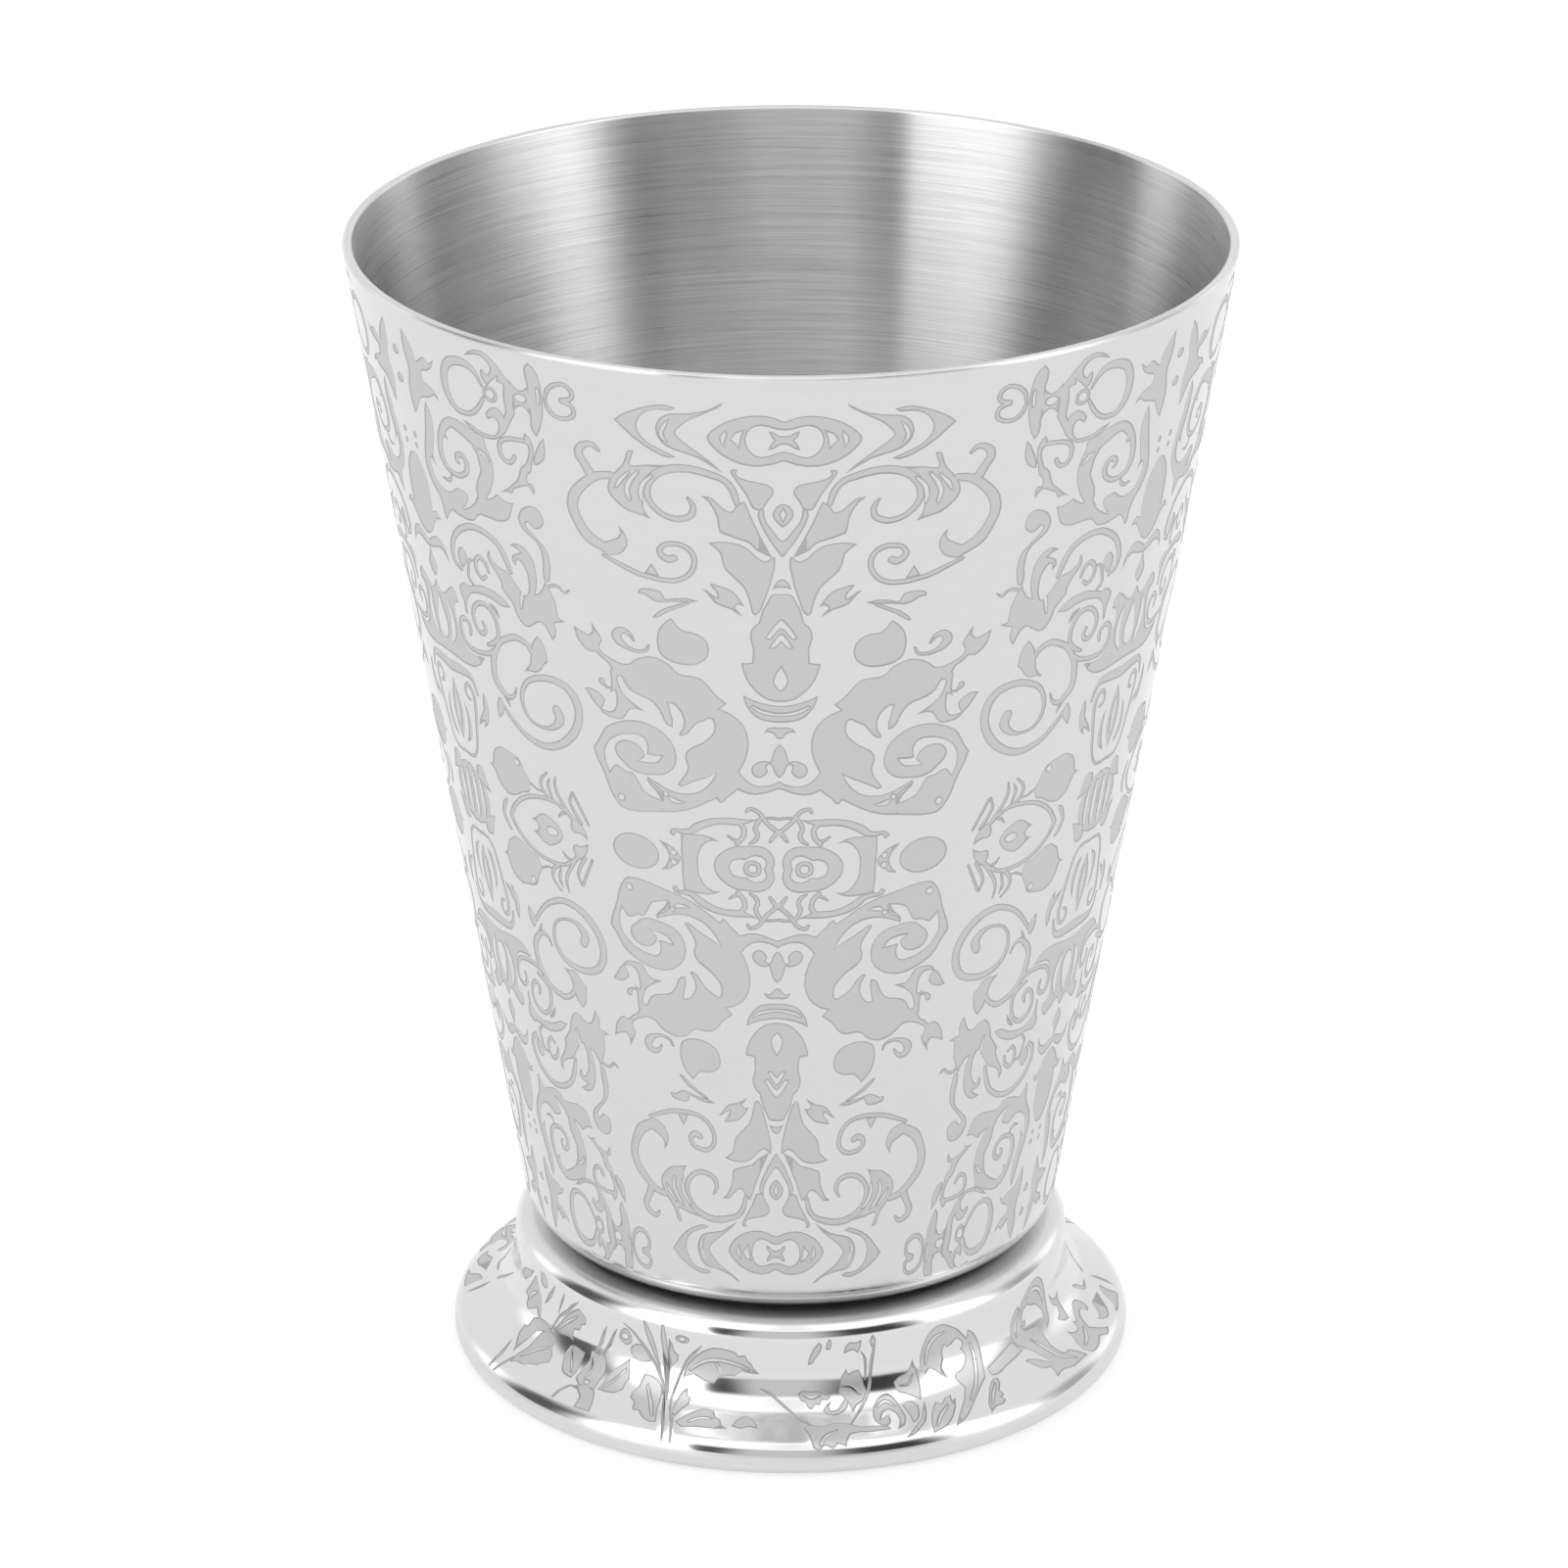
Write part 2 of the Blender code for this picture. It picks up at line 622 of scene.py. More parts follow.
class Oval(Shape):
    """An oval whose path is its middle and its half widths, in degrees and millimetres."""

    def outline(self, chart: Chart) -> np.ndarray:
        """Return the outline in millimetres.

        Args:
            chart: the drawing's chart.

        Returns:
            The outline's points.
        """
        around, along, half_around, half_along = (float(part) for part in self.path.split(","))
        turn = np.arange(OVAL_STEPS) * math.tau / OVAL_STEPS
        x = (around + half_around * np.cos(turn)) * chart.degree
        return np.column_stack([x, along + half_along * np.sin(turn)])


class Vine(Shape):
    """A round-ended stroke whose path gives its width at each point.

    Where it ends on a mirror line, it runs on past it.
    """

    def outline(self, chart: Chart) -> np.ndarray:
        """Return the outline in millimetres.

        Args:
            chart: the drawing's chart.

        Returns:
            The outline's points.
        """
        points, _ = chart.read(self.path)
        first, last = (chart.line(end, end) for end in (points[0], points[-1]))
        before = [reflected(points[1], first)] if first else []
        after = [reflected(points[-2], last)] if last else []
        points = before + points + after
        run = smooth_run(points, [False] * len(points), False)
        ahead = np.gradient(run[:, :2], axis=0)
        ahead /= np.linalg.norm(ahead, axis=1, keepdims=True)
        half = run[:, 2:3] / 2
        aside = np.column_stack([-ahead[:, 1], ahead[:, 0]]) * half
        left = run[:, :2] + aside
        right = run[:, :2] - aside
        turn = np.arange(1, CAP_STEPS) * math.pi / CAP_STEPS
        across, onward = np.cos(turn)[:, None], np.sin(turn)[:, None]
        far_cap = run[-1, :2] + across * aside[-1] + onward * ahead[-1] * half[-1]
        near_cap = run[0, :2] - across * aside[0] - onward * ahead[0] * half[0]
        return np.vstack([left, far_cap, right[::-1], near_cap])


# Kinds of shape by their words, and how a shape is written: any word of its layer, its kind and its path
SHAPES = {"leaf": Leaf, "oval": Oval, "vine": Vine}
WRITTEN_SHAPE = r"(bare|inlaid)?\s*(leaf|oval|vine)([-\d.,!\s]+)"


@dataclass(frozen=True)
class Motif:
    """One motif of a drawing.

    Attributes:
        name: what it is.
        drawing: its shapes, each as its kind and its path, after its layer's word where it isn't etched.
        sag: how far its middle hangs, in millimetres, if it lies across the level mirror line, unarched.
    """

    name: str
    drawing: str
    sag: float | None = None

    def shapes(self, layer: Layer) -> list[Shape]:
        """Return the shapes of one layer.

        Args:
            layer: the layer.

        Returns:
            The shapes, in the order that they are drawn.
        """
        found = re.findall(WRITTEN_SHAPE, self.drawing)
        return [SHAPES[kind](path) for word, kind, path in found if Layer(word) is layer]


def thinned(outline: np.ndarray, tolerance: float) -> np.ndarray:
    """Return a closed outline without the points that it can do without.

    Args:
        outline: the outline's points.
        tolerance: how far the outline may move.

    Returns:
        The points that are left.
    """
    keep = np.zeros(len(outline) + 1, bool)
    ring = np.vstack([outline, outline[:1]])
    far = int(np.argmax(np.linalg.norm(ring - ring[0], axis=1)))
    keep[[0, far, -1]] = True
    spans = [(0, far), (far, len(outline))]
    while spans:
        low, high = spans.pop()
        if high - low < 2:
            continue
        along = ring[high] - ring[low]
        offset = ring[low + 1:high] - ring[low]
        aside = np.abs(offset[:, 0] * along[1] - offset[:, 1] * along[0])
        distance = aside / max(np.linalg.norm(along), TINIEST)
        worst = int(np.argmax(distance))
        if distance[worst] > tolerance:
            middle = low + 1 + worst
            keep[middle] = True
            spans += [(low, middle), (middle, high)]
    return outline[keep[:-1]]


def distance_to(points: np.ndarray, outline: np.ndarray) -> np.ndarray:
    """Return each point's distance to a closed outline.

    Args:
        points: the points.
        outline: the outline.

    Returns:
        The distances.
    """
    start = outline[None]
    along = np.roll(outline, -1, axis=0)[None] - start
    offset = points[:, None] - start
    share = np.sum(offset * along, axis=2) / np.maximum(np.sum(along * along, axis=2), TINIEST)
    nearest = along * np.clip(share, 0, 1)[..., None]
    return np.linalg.norm(offset - nearest, axis=2).min(axis=1)


def inset(outline: np.ndarray, distance: float) -> np.ndarray:
    """Return an outline moved inwards, or outwards for a negative distance.

    Args:
        outline: the outline.
        distance: how far it moves.

    Returns:
        The moved outline, which has no points where the shape is too narrow.
    """
    onward = np.roll(outline, -1, axis=0)
    clockwise = np.sum(outline[:, 0] * onward[:, 1] - outline[:, 1] * onward[:, 0]) <= 0
    ring = outline[::-1] if clockwise else outline
    ahead = np.roll(ring, -1, axis=0) - ring
    ahead /= np.maximum(np.linalg.norm(ahead, axis=1, keepdims=True), TINIEST)
    inward = np.column_stack([-ahead[:, 1], ahead[:, 0]])
    both = inward + np.roll(inward, 1, axis=0)
    reach = 2 * both / np.maximum(np.sum(both * both, axis=1, keepdims=True), MITRE_LIMIT)
    moved = ring + distance * reach
    return moved[distance_to(moved, ring) > CLEAR_SHARE * abs(distance)]


def inside(points: np.ndarray, outline: np.ndarray) -> np.ndarray:
    """Return which points an outline winds round.

    Args:
        points: the points.
        outline: the closed outline.

    Returns:
        True for each point inside.
    """
    found = np.zeros(len(points), bool)
    near = np.all((points >= outline.min(axis=0)) & (points <= outline.max(axis=0)), axis=1)
    start, end = outline, np.roll(outline, -1, axis=0)
    x, y = points[near, 0:1], points[near, 1:2]
    side = (end[:, 0] - start[:, 0]) * (y - start[:, 1]) - (x - start[:, 0]) * (end[:, 1] - start[:, 1])
    rising = (start[:, 1] <= y) & (end[:, 1] > y) & (side > 0)
    falling = (start[:, 1] > y) & (end[:, 1] <= y) & (side < 0)
    found[near] = rising.sum(axis=1) != falling.sum(axis=1)
    return found


@dataclass
class Etcher:
    """Cuts a flat sheet along a drawing.

    Attributes:
        chart: the drawing's chart.
        motifs: the drawing.
        low: lower left corner of the sheet, in degrees and millimetres.
        high: upper right corner.
        step_around: largest step around, in degrees.
        step_along: largest step along, in millimetres.
        lower_scale: scale of the drawing's image below the level mirror line.
        arch: how far that image is arched upwards half-way between the upright mirror lines, in millimetres.
        datum: height in the drawing that counts as none.
        edge: width of the sloping edge of an etched shape, in millimetres.
        loops: the outlines in the order that they are laid, each with the kind of skin that it makes, and the
            kind that it makes it of, or None for any.
    """

    chart: Chart
    motifs: tuple[Motif, ...]
    low: Point
    high: Point
    step_around: float
    step_along: float
    lower_scale: float = 1.0
    arch: float = 0.0
    datum: float = 0.0
    edge: float = 0.15
    loops: list[tuple[np.ndarray, Skin, Skin | None]] = field(default_factory=list)

    def __post_init__(self) -> None:
        """Work out the sheet's corners in millimetres."""
        self.lowest, self.highest = (np.array([x * self.chart.degree, y]) for x, y in (self.low, self.high))

    def collect(self) -> None:
        """Fill the list of outlines."""
        for layer in Layer:
            outlines = [
                thinned(outline, OUTLINE_TOLERANCE)
                for motif in self.motifs
                for shape in motif.shapes(layer)
                for outline in self.laid(shape, motif.sag)
            ]
            if layer is Layer.BARE:
                self.loops += [(inset(outline, -self.edge), Skin.EDGE, Skin.FROSTED) for outline in outlines]
                self.loops += [(outline, Skin.POLISHED, None) for outline in outlines]
            else:
                self.loops += [(outline, Skin.EDGE, Skin.POLISHED) for outline in outlines]
                self.loops += [(inset(outline, self.edge), Skin.FROSTED, Skin.EDGE) for outline in outlines]
        self.loops = [loop for loop in self.loops if len(loop[0]) > 2]

    def laid(self, shape: Shape, sag: float | None) -> list[np.ndarray]:
        """Return a shape's outline as it lies on the sheet, with its image below the level mirror line.

        Args:
            shape: the shape.
            sag: how far its motif sags, or None for one that is arched.

        Returns:
            The outlines. A leaf or an oval that crosses the line has only one.
        """
        outlines = [shape.outline(self.chart)[:, :2]]
        for level in self.chart.level:
            if isinstance(shape, Vine) or outlines[0][:, 1].min() > level:
                outlines.append(reflected(outlines[0], (1, level)))
            for outline in outlines:
                around = outline[:, 0] / self.chart.degree
                if sag is not None:
                    outline[:, 1] -= sag * np.cos(np.clip(around / SAG_REACH, 0, 1) * math.pi / 2)
                else:
                    depth = np.maximum(level - outline[:, 1], 0)
                    bow = (1 - np.cos(around / self.high[0] * math.tau)) / 2
                    strength = eased(depth, *ARCH_START) * (1 - ARCH_LOSS * eased(depth, *ARCH_EASE))
                    strength *= 1 - eased(depth, *ARCH_END)
                    outline[:, 1] += depth * (1 - self.lower_scale) + self.arch * bow * strength
        return outlines

    def grid(self) -> tuple[np.ndarray, list[tuple[int, int]]]:
        """Return the sheet's own points with its border's edges."""
        across = round((self.high[0] - self.low[0]) / self.step_around)
        upward = round((self.high[1] - self.low[1]) / self.step_along)
        columns = np.linspace(self.lowest[0], self.highest[0], across + 1)
        levels = np.linspace(self.lowest[1], self.highest[1], upward + 1)
        border = [(x, y) for y in levels[[0, -1]] for x in columns]
        border += [(x, y) for x in columns[[0, -1]] for y in levels[1:-1]]
        outlines = np.vstack([loop[0] for loop in self.loops])
        inner = np.array([(x, y) for y in levels[1:-1] for x in columns[1:-1]])
        gap = np.array([np.min(np.sum((outlines - point) ** 2, axis=1)) for point in inner])
        points = np.vstack([np.array(border), inner[gap > GRID_CLEARANCE ** 2]])
        ends = np.cumsum([across + 1, across + 1, upward - 1])
        lower, upper, *sides = np.split(np.arange(len(border)), ends)
        sides = [[lower[end], *side, upper[end]] for end, side in zip((0, -1), sides)]
        edges = [(int(a), int(b)) for run in (lower, upper, *sides) for a, b in zip(run, run[1:])]
        return points, edges

    def cut(self, name: str, etch: float) -> bpy.types.Mesh:
        """Return the sheet cut along the drawing, as a flat mesh of angle, height and depth.

        Args:
            name: the mesh's name.
            etch: depth of the etching.

        Returns:
            The mesh, with each face's kind of skin.
        """
        self.collect()
        points, edges = self.grid()
        stack = [points]
        count = len(points)
        for outline, _, _ in self.loops:
            edges += [(count + index, count + (index + 1) % len(outline)) for index in range(len(outline))]
            stack.append(outline)
            count += len(outline)
        corners = [Vector(point) for point in np.vstack(stack)]
        made = delaunay_2d_cdt(corners, edges, [], 0, CUT_PRECISION, False)
        points = np.array([tuple(point) for point in made[0]])
        faces = np.array([tuple(face) for face in made[2]])
        middle = points[faces].mean(axis=1)
        keep = np.all((middle > self.lowest) & (middle < self.highest), axis=1)
        faces, middle = faces[keep], middle[keep]
        used, numbers = np.unique(faces, return_inverse=True)
        faces = numbers.reshape(faces.shape)
        kinds = self.sorted_kinds(middle)
        angles = np.radians(points[used, 0] / self.chart.degree)
        heights = (points[used, 1] - self.datum) * MM
        depths = self.depths(len(used), faces, kinds) * etch
        mesh = bpy.data.meshes.new(name)
        mesh.from_pydata(np.column_stack([angles, heights, depths]), [], faces)
        mesh.attributes.new("kind", "INT", "FACE").data.foreach_set("value", kinds.astype(np.int32))
        return mesh

    def sorted_kinds(self, middle: np.ndarray) -> np.ndarray:
        """Return each face's kind of skin.

        Args:
            middle: the middles of the faces.

        Returns:
            The kinds.
        """
        kinds = np.full(len(middle), int(Skin.POLISHED))
        for outline, kind, under in self.loops:
            chosen = inside(middle, outline)
            if under is not None:
                chosen &= kinds == under
            kinds[chosen] = kind
        return kinds

    @staticmethod
    def depths(count: int, faces: np.ndarray, kinds: np.ndarray) -> np.ndarray:
        """Return each point's depth: none beside polished skin, full beside frosted, half within an edge.

        Args:
            count: how many points there are.
            faces: the faces.
            kinds: the faces' kinds of skin.

        Returns:
            The depths, from 0 to 1.
        """
        depth = np.full(count, 0.5)
        depth[faces[kinds == Skin.FROSTED].ravel()] = 1.0
        depth[faces[kinds == Skin.POLISHED].ravel()] = 0.0
        return depth


# Scrollwork of the cup: a sixth of its turn above the level mirror line, below which its image lies
SCROLLWORK = (
    Motif("cartouche", """
    leaf 0,45.2 1.5,45.6 3.5,45.75 6,45.4 8,44.7 9.4,43.8 9.7,43.3 9.2,42.6 7.6,41.55 5.5,40.85 3.5,40.65
      1.5,40.85 0,41.2
    bare leaf 0,44.3 1.2,44.4 2.2,44.65 3.2,44.7 4.3,44.3 4.8,43.5 4.6,42.6 4,42 3,41.65 2,41.75 1,42.05
      0,42.2
    bare leaf 5.2,44.1! 5.5,43.5 5.7,42.6! 6,42.9 6.6,43.3! 6,43.9
    bare leaf 7.3,44! 7.8,43.6 7.9,43.2 7.5,42.6! 7.55,43.2 7.3,43.6
    inlaid leaf 0,43.75 .7,43.8 1.3,44.1 1.95,44.25! 1.75,43.75 1.25,43.3 1.7,42.9 2.05,42.3! 1.3,42.45
      .7,42.8 0,42.9"""),
    Motif("boomerang", """
    leaf 7.6,46.9! 9.5,46.1 10.5,45.85 12.5,45.55 14.3,45.45 15.3,45.1 16.1,44.3 16.2,43.5 15.6,42.6
      14.6,42.05 13,41.7 11,41.3 9,40.4 7.65,39.85! 8.5,40.5 10,41.4 11.8,42.3 13,43 13.65,43.55
      13.2,44.1 12,44.85 10.3,45.5 8.7,46.1 7.9,46.5
    bare leaf 14.5,44.8! 15.3,44.2 15.7,43.5 15.4,42.9 14.8,42.6! 15.2,43 15.35,43.5 15,44.1"""),
    Motif("arrowhead", """
    leaf 13.5,46.05! 15.2,46.3 17,46.05 19,45.5 20.6,44.9 21.7,44.25! 20.5,43.5 19.3,42.7 17.9,42 16,41.3
      14.5,41 13.6,41.2! 15.5,41.75 17.3,42.4 18.3,43.1 18.65,43.9 18.2,44.8 17,45.5 15.5,45.75
      14.2,45.75"""),
    Motif("throat", """
    leaf 5.8,40.3! 6.6,40.3 6.8,39.8 6.4,39.2 5.8,38.6 5,37.9 4.4,37.2 4,36.5 3.5,36.3 2.6,36.4 2.2,36.9
      1.6,37.6 1.2,38! 1.35,38.5 2,38.9 3.5,39.15 4.6,39.3 5.5,39.5 6,39.9
    leaf 0,33.3 1.2,34.2 2,35 2.4,35.7 2.4,36.4! 3,36.4 3.3,35.9 3.1,35.2 2.4,34.1 1.5,33 .6,32.1 0,31.6
    leaf 0,37 .7,36.8 1.3,36.2 1.3,35.6 .8,35.1 0,34.6
    leaf 5.9,36.8 6.6,36.1 7.4,36.2 8.3,36.8 9.3,37.4 10.6,37.5! 9.6,36.9 8.9,36.1 8.5,35.2 8.4,34.4
      8.2,33.9! 7.5,33.7 6.5,33.45 4.5,33 3.3,32.2 1.3,31.5! 2.2,32.7 3,33.9 3.6,35 4.2,36.2 5,37.2!
    leaf 9.8,32.8! 8.2,31.8 8,31 7.6,30.2 6.8,29.6 5.9,29 5.1,28.4 4.6,27.6 4.2,26.6 4,25.9 3.5,25.6!
      2.9,26 2.3,27 1.7,28.3 1.2,29.6 .9,30.8 .9,31.8! 2.2,31.2 3.2,31.5 4.2,32.2 5.2,32.7 6.5,32.95
      8.2,33
    bare leaf 0,36.4! .35,35.9 0,35.3!
    bare vine 7,39.9,.3 6,38.8 5,37.7 4.2,36.4 3.6,35.2 2.8,34 1.9,32.9 1,32 .6,31.3"""),
    Motif("arch hook", """
    vine 5.9,36.9,.55 6.5,38.3,.66 7.6,39.2 9,39.6,.77 12,40.1,.83 14.5,39.95,.88 16.4,39.3 17.6,38.1,.77
      17.6,36.7,.66 16,35.4,.61 13.8,34.95,.66 12,35.4 11.6,36.3,.55 12.3,37.2,.33
    leaf 14.6,40.3! 16,40.25 18,40.1 19.8,39.9 19.2,41.4! 20.1,41.3 20.5,40.5 21,39.8 22.2,38.9 22.9,38.1
      23.2,37.3 22.9,36.6 22,35.9 20.5,35.2 18.5,34.9 17.4,34.65! 18.2,35.5 18.3,36 18.2,37.4 17.6,38.9
      16.4,39.6
    bare vine 17.1,39,.15 18.2,38.2,.3 18.6,37.3 18.5,36.5,.15
    bare vine 18.9,39.3,.15 20,38.3,.3 20.5,37.4 20.2,36.4,.15
    bare vine 20.2,39.1,.1 21.3,38.3,.25 22,37.5,.1"""),
    Motif("big c", """
    vine 25.6,38.5,1 26.3,39.4,.9 27,40.2 26.8,40.9,.85 25.9,41.35,.7 24.9,41.4,.6 24.1,40.9,.4
    vine 22.6,38.6,.8 24.5,38.35,.9 26.5,37.4,1 28.2,36,1.1 28.6,34.7 27.9,33.3 26.6,32,1.2 24.5,31.2,1.1
    leaf 24.6,31.6! 23,32.1 22.2,32.4 21.8,32.9 22,33.6! 21.2,33 20.8,32.2 21,31.5 21.8,30.8 22.8,30.5
      24,30.4 25,30.8!"""),
    Motif("tendril", """
    vine 24.5,30.3,.41 22,29.6,.57 20,29.05 18,28.75 16,28.6 14.3,28.7 12.8,29.2 11.8,30.2 11.7,31.2
      12.4,32 13.6,32.4 14.8,32.4 15.8,32.2 16.4,31.6,.61 16.1,31.1,.68 15.2,30.8,.81 14.5,30.95
    leaf 16.5,28.9! 17.6,30.25! 18.8,29!"""),
    Motif("sprigs", """
    leaf 9.7,28.7 8.3,28.5 7,28.2 6,27.6 5.3,26.9 5,26.5! 5.7,26.7 6.3,26.4 5.7,25.9 5.3,25.45! 6.1,25.8
      7,26.2 8,26.4 9,26.7 9.6,27.2 10.2,27.7 10.8,28.1! 10,27.95 9.2,27.5 8.7,27.3 8.8,27.8 9.3,28.2
    leaf 11.2,26.8! 13,27 14.4,26.9 15.9,26.7 16.5,27.4 18.3,27.6 19.6,27.4 19.8,26.9! 18.9,26.9
      17.7,26.4 16.7,26.25 15,26.45 12.3,26.55
    vine 12.8,26.5,.38 14.5,26,.44 16,25.5,.5 17,25 17.6,24.7,.31
    leaf 15.2,24.8! 16,24.4 16.9,23.7 17.4,22.7 17.4,21.7 17,20.9 16,20.4 14.5,20.1 13,20.05 11.5,20.3
      10.4,20.9 10,21.7 10.2,22.6 11,23.2 12.3,23.55 13.6,23.65 14.3,24
    vine 18.7,21.7,.31 19.2,21.1,.38 20.5,20.9,.44 21.8,21.1,.5 23,21.6,.88 23.5,22.2,1 23.1,22.7,.88
      22.3,22.85,.69 21.5,22.6,.5 20.9,22,.31"""),
    Motif("pod", """
    leaf 0,29.4 .6,29.2 1.1,28.7 1.3,28.3! .6,28.5 0,28.5
    leaf 0,27.9 1.3,27.8 2,27 2.6,26.2 2.9,25.5 3.1,24.9! 3.8,24.5 4.2,23.9 4.3,23.2 3.9,22.3 3.9,21.5
      4,20.8! 4.7,20.7 5.5,20.7! 5.4,20.1 5,19.3 4.5,18.6 3.8,18 2.9,17.4 2,17 1,16.8 0,16.75
    leaf 0,16.35 1.5,16.45 3,16.7 4.2,17 5.3,17.4! 5,16.5 4.3,15.7 3.2,15 1.8,14.7 0,14.6
    leaf 0,14.1 1,14.15 1.8,14 2.3,13.5! 1.6,13.6 .9,13.4 .5,13 0,12.9
    leaf 0,12.4! .7,11.9 1.1,11.2 1.4,10.5 2,10.6 3,10.5 3.9,10.1 4.2,9.5 3.8,8.95 2.9,8.75 2,9.1 1.7,9.5
      1.9,10 1.5,10.2 1,9.9 .9,9.5 0,8.8
    bare leaf 0,25.15 .7,24.7 1.4,24.1 2,23.4! 1.6,23.3 .9,23.9 0,24.4
    bare leaf 0,23.7 .6,23.3 1,22.9 1.4,22.4! 1,22.4 .5,22.7 0,23.1
    bare leaf 0,20.3! .6,19.6 .9,18.9 .4,18.2 0,18
    bare vine 0,15.4,.15 1.5,15.5,.2 3,15.8 4,16.2,.12"""),
    Motif("acanthus", """
    leaf 0,8.5 .7,8.2 2,7.95 3.3,7.95 4.3,8.2 5.2,8.7 5.9,9.3! 5.2,10.2 4.8,10.9 4.5,11.8 4.5,12.8
      4.8,13.6 5.4,14.4 6.3,15 7.4,15.5 8.6,15.8! 7.6,16.4! 8.6,16.9 9.6,17.6 10.4,18.3 11.3,18.8 12.6,19
      14,19.05 14.8,19.3 15.8,20 17,20.4 18.2,20.6 19.8,20.4 21,20 21.9,19.5 23,19.4 24.5,19.7 26.2,20.4
      26.3,20.9 25.8,21.4 26.5,22.4 27.3,23.2! 27.3,22.2 27.9,21.8! 29,22 30.3,22.4! 29.9,21.2 29,20.4
      28,20 27,20.1 26.2,19.6 25.2,19.2 24.6,18.4 24.4,17.6 24.5,16.8! 23.9,17.8 23.3,18 22.4,17
      21.4,16.5 20,16.2 18.8,15.9 18,15.4 17.4,14.7 17,14 16.5,13.6 15.7,13.4! 15.6,14 15.8,14.8
      16.2,15.9! 15.6,15.9 14.6,15.3 14,14.4 14.1,13.6 14.8,12.8! 14.5,12.6 13.5,12.9 12.8,13.5 12,14.1
      11,14.4 10.2,14.7 9.7,14.6 9.5,14 9.6,13.4 10.2,12.8 11.2,12.2 12.5,11.7 13.3,11.4 13.9,10.9
      14,10.2 13.7,9.6 13.9,8.9 14.6,8.2 15.4,7.5! 14.9,7.25 14,7.5 12.5,8 11,8.4 9.4,9! 9.9,8.4 10.8,7.6
      12.2,6.9 13.8,6.6 15.5,6.6 17.5,7 19,7.5 20.2,7.9! 20,7.4 19,6.9 18.1,6.4 17.9,5.7! 18.5,5 18,4.3!
      16,4.45 14,4.8 12.3,5.3 11,5.8 10,6.1 9.4,6.3 9,5.9 8.4,6 7.8,6.5 6.8,7 6.2,7.4! 5.5,7.2 4.5,7
      3.5,6.95 2,7.15 1,7.4 0,7.6
    leaf 17.9,5.7! 17.6,5 18,4.3! 21,4 23,3.9 24.6,4.05 25.5,4.5 26.3,5.3 26.9,6.2 27.3,7.2 28,8.2
      28.6,9.2 28.9,10! 28,10.8 27.2,11.7 26.3,12.5 25,13 23,13.5 21,13.65 19,13.4 17.5,12.9 16.2,12.1
      15.5,11.2 15.3,10.2 15.6,9.4 16.4,8.7 17.6,8.25 19,8.1 20.8,8! 20.2,7.6 19.2,6.9 18.1,6.3
    bare leaf 18.2,5.6! 18.7,6.3 20,7.2 20.6,8! 21.8,8.1 23,8.4 23.8,8.9 24.8,9.5 25.2,10.2 24.9,10.8
      24,11.3 22.8,11.4 21.5,11.2 20.6,10.6 20.2,9.9! 19.8,11 20.2,11.8 21,12.1 22,12.1 23.5,11.95
      25,11.5 26.2,10.8 26.9,9.8 26.9,8.8 26.4,7.8! 25.9,8.2 25.3,8.6 24.6,8.5 23.7,8.15 22.4,8 21.6,7.2
      20.8,6.3 19.7,5.9
    bare leaf 17.7,10.2! 19,10.15 20.2,10.2! 20.5,9.8 21.3,9.4! 20,9.4 18.8,9.5 18.2,9.7
    bare oval 24.7,5.2,.5,.3
    bare leaf 14.4,5.6! 15.5,5.5 16.4,5.6 16.9,6! 16.2,5.9 15.4,5.7
    bare oval 17.3,6.3,.3,.2"""),
    Motif("right cluster", """
    leaf 24.2,18.8! 23.6,17 23,16.2 22,15.6 20.8,15.1 19.8,14.7! 21.5,14.8 22.3,14.6 23,13.9 23.6,13.5
      25,13.45 26.5,13.7 27.3,14.3 27.9,14.6 28.7,15.4 29.4,16.1! 28.2,16.2 27,15.9 26.2,15.4! 25.4,15.9
      25,16.6 24.9,17.6 24.9,18.6
    vine 24.5,16.7,.3 25.6,16.6,.35 26.3,17,.6 26.4,17.2,.7
    bare leaf 24.4,16.4 24.3,15.2 24.8,14.35 25.7,14.1 26.8,14.25! 26.3,14.8 26.1,15.5! 25.4,16"""),
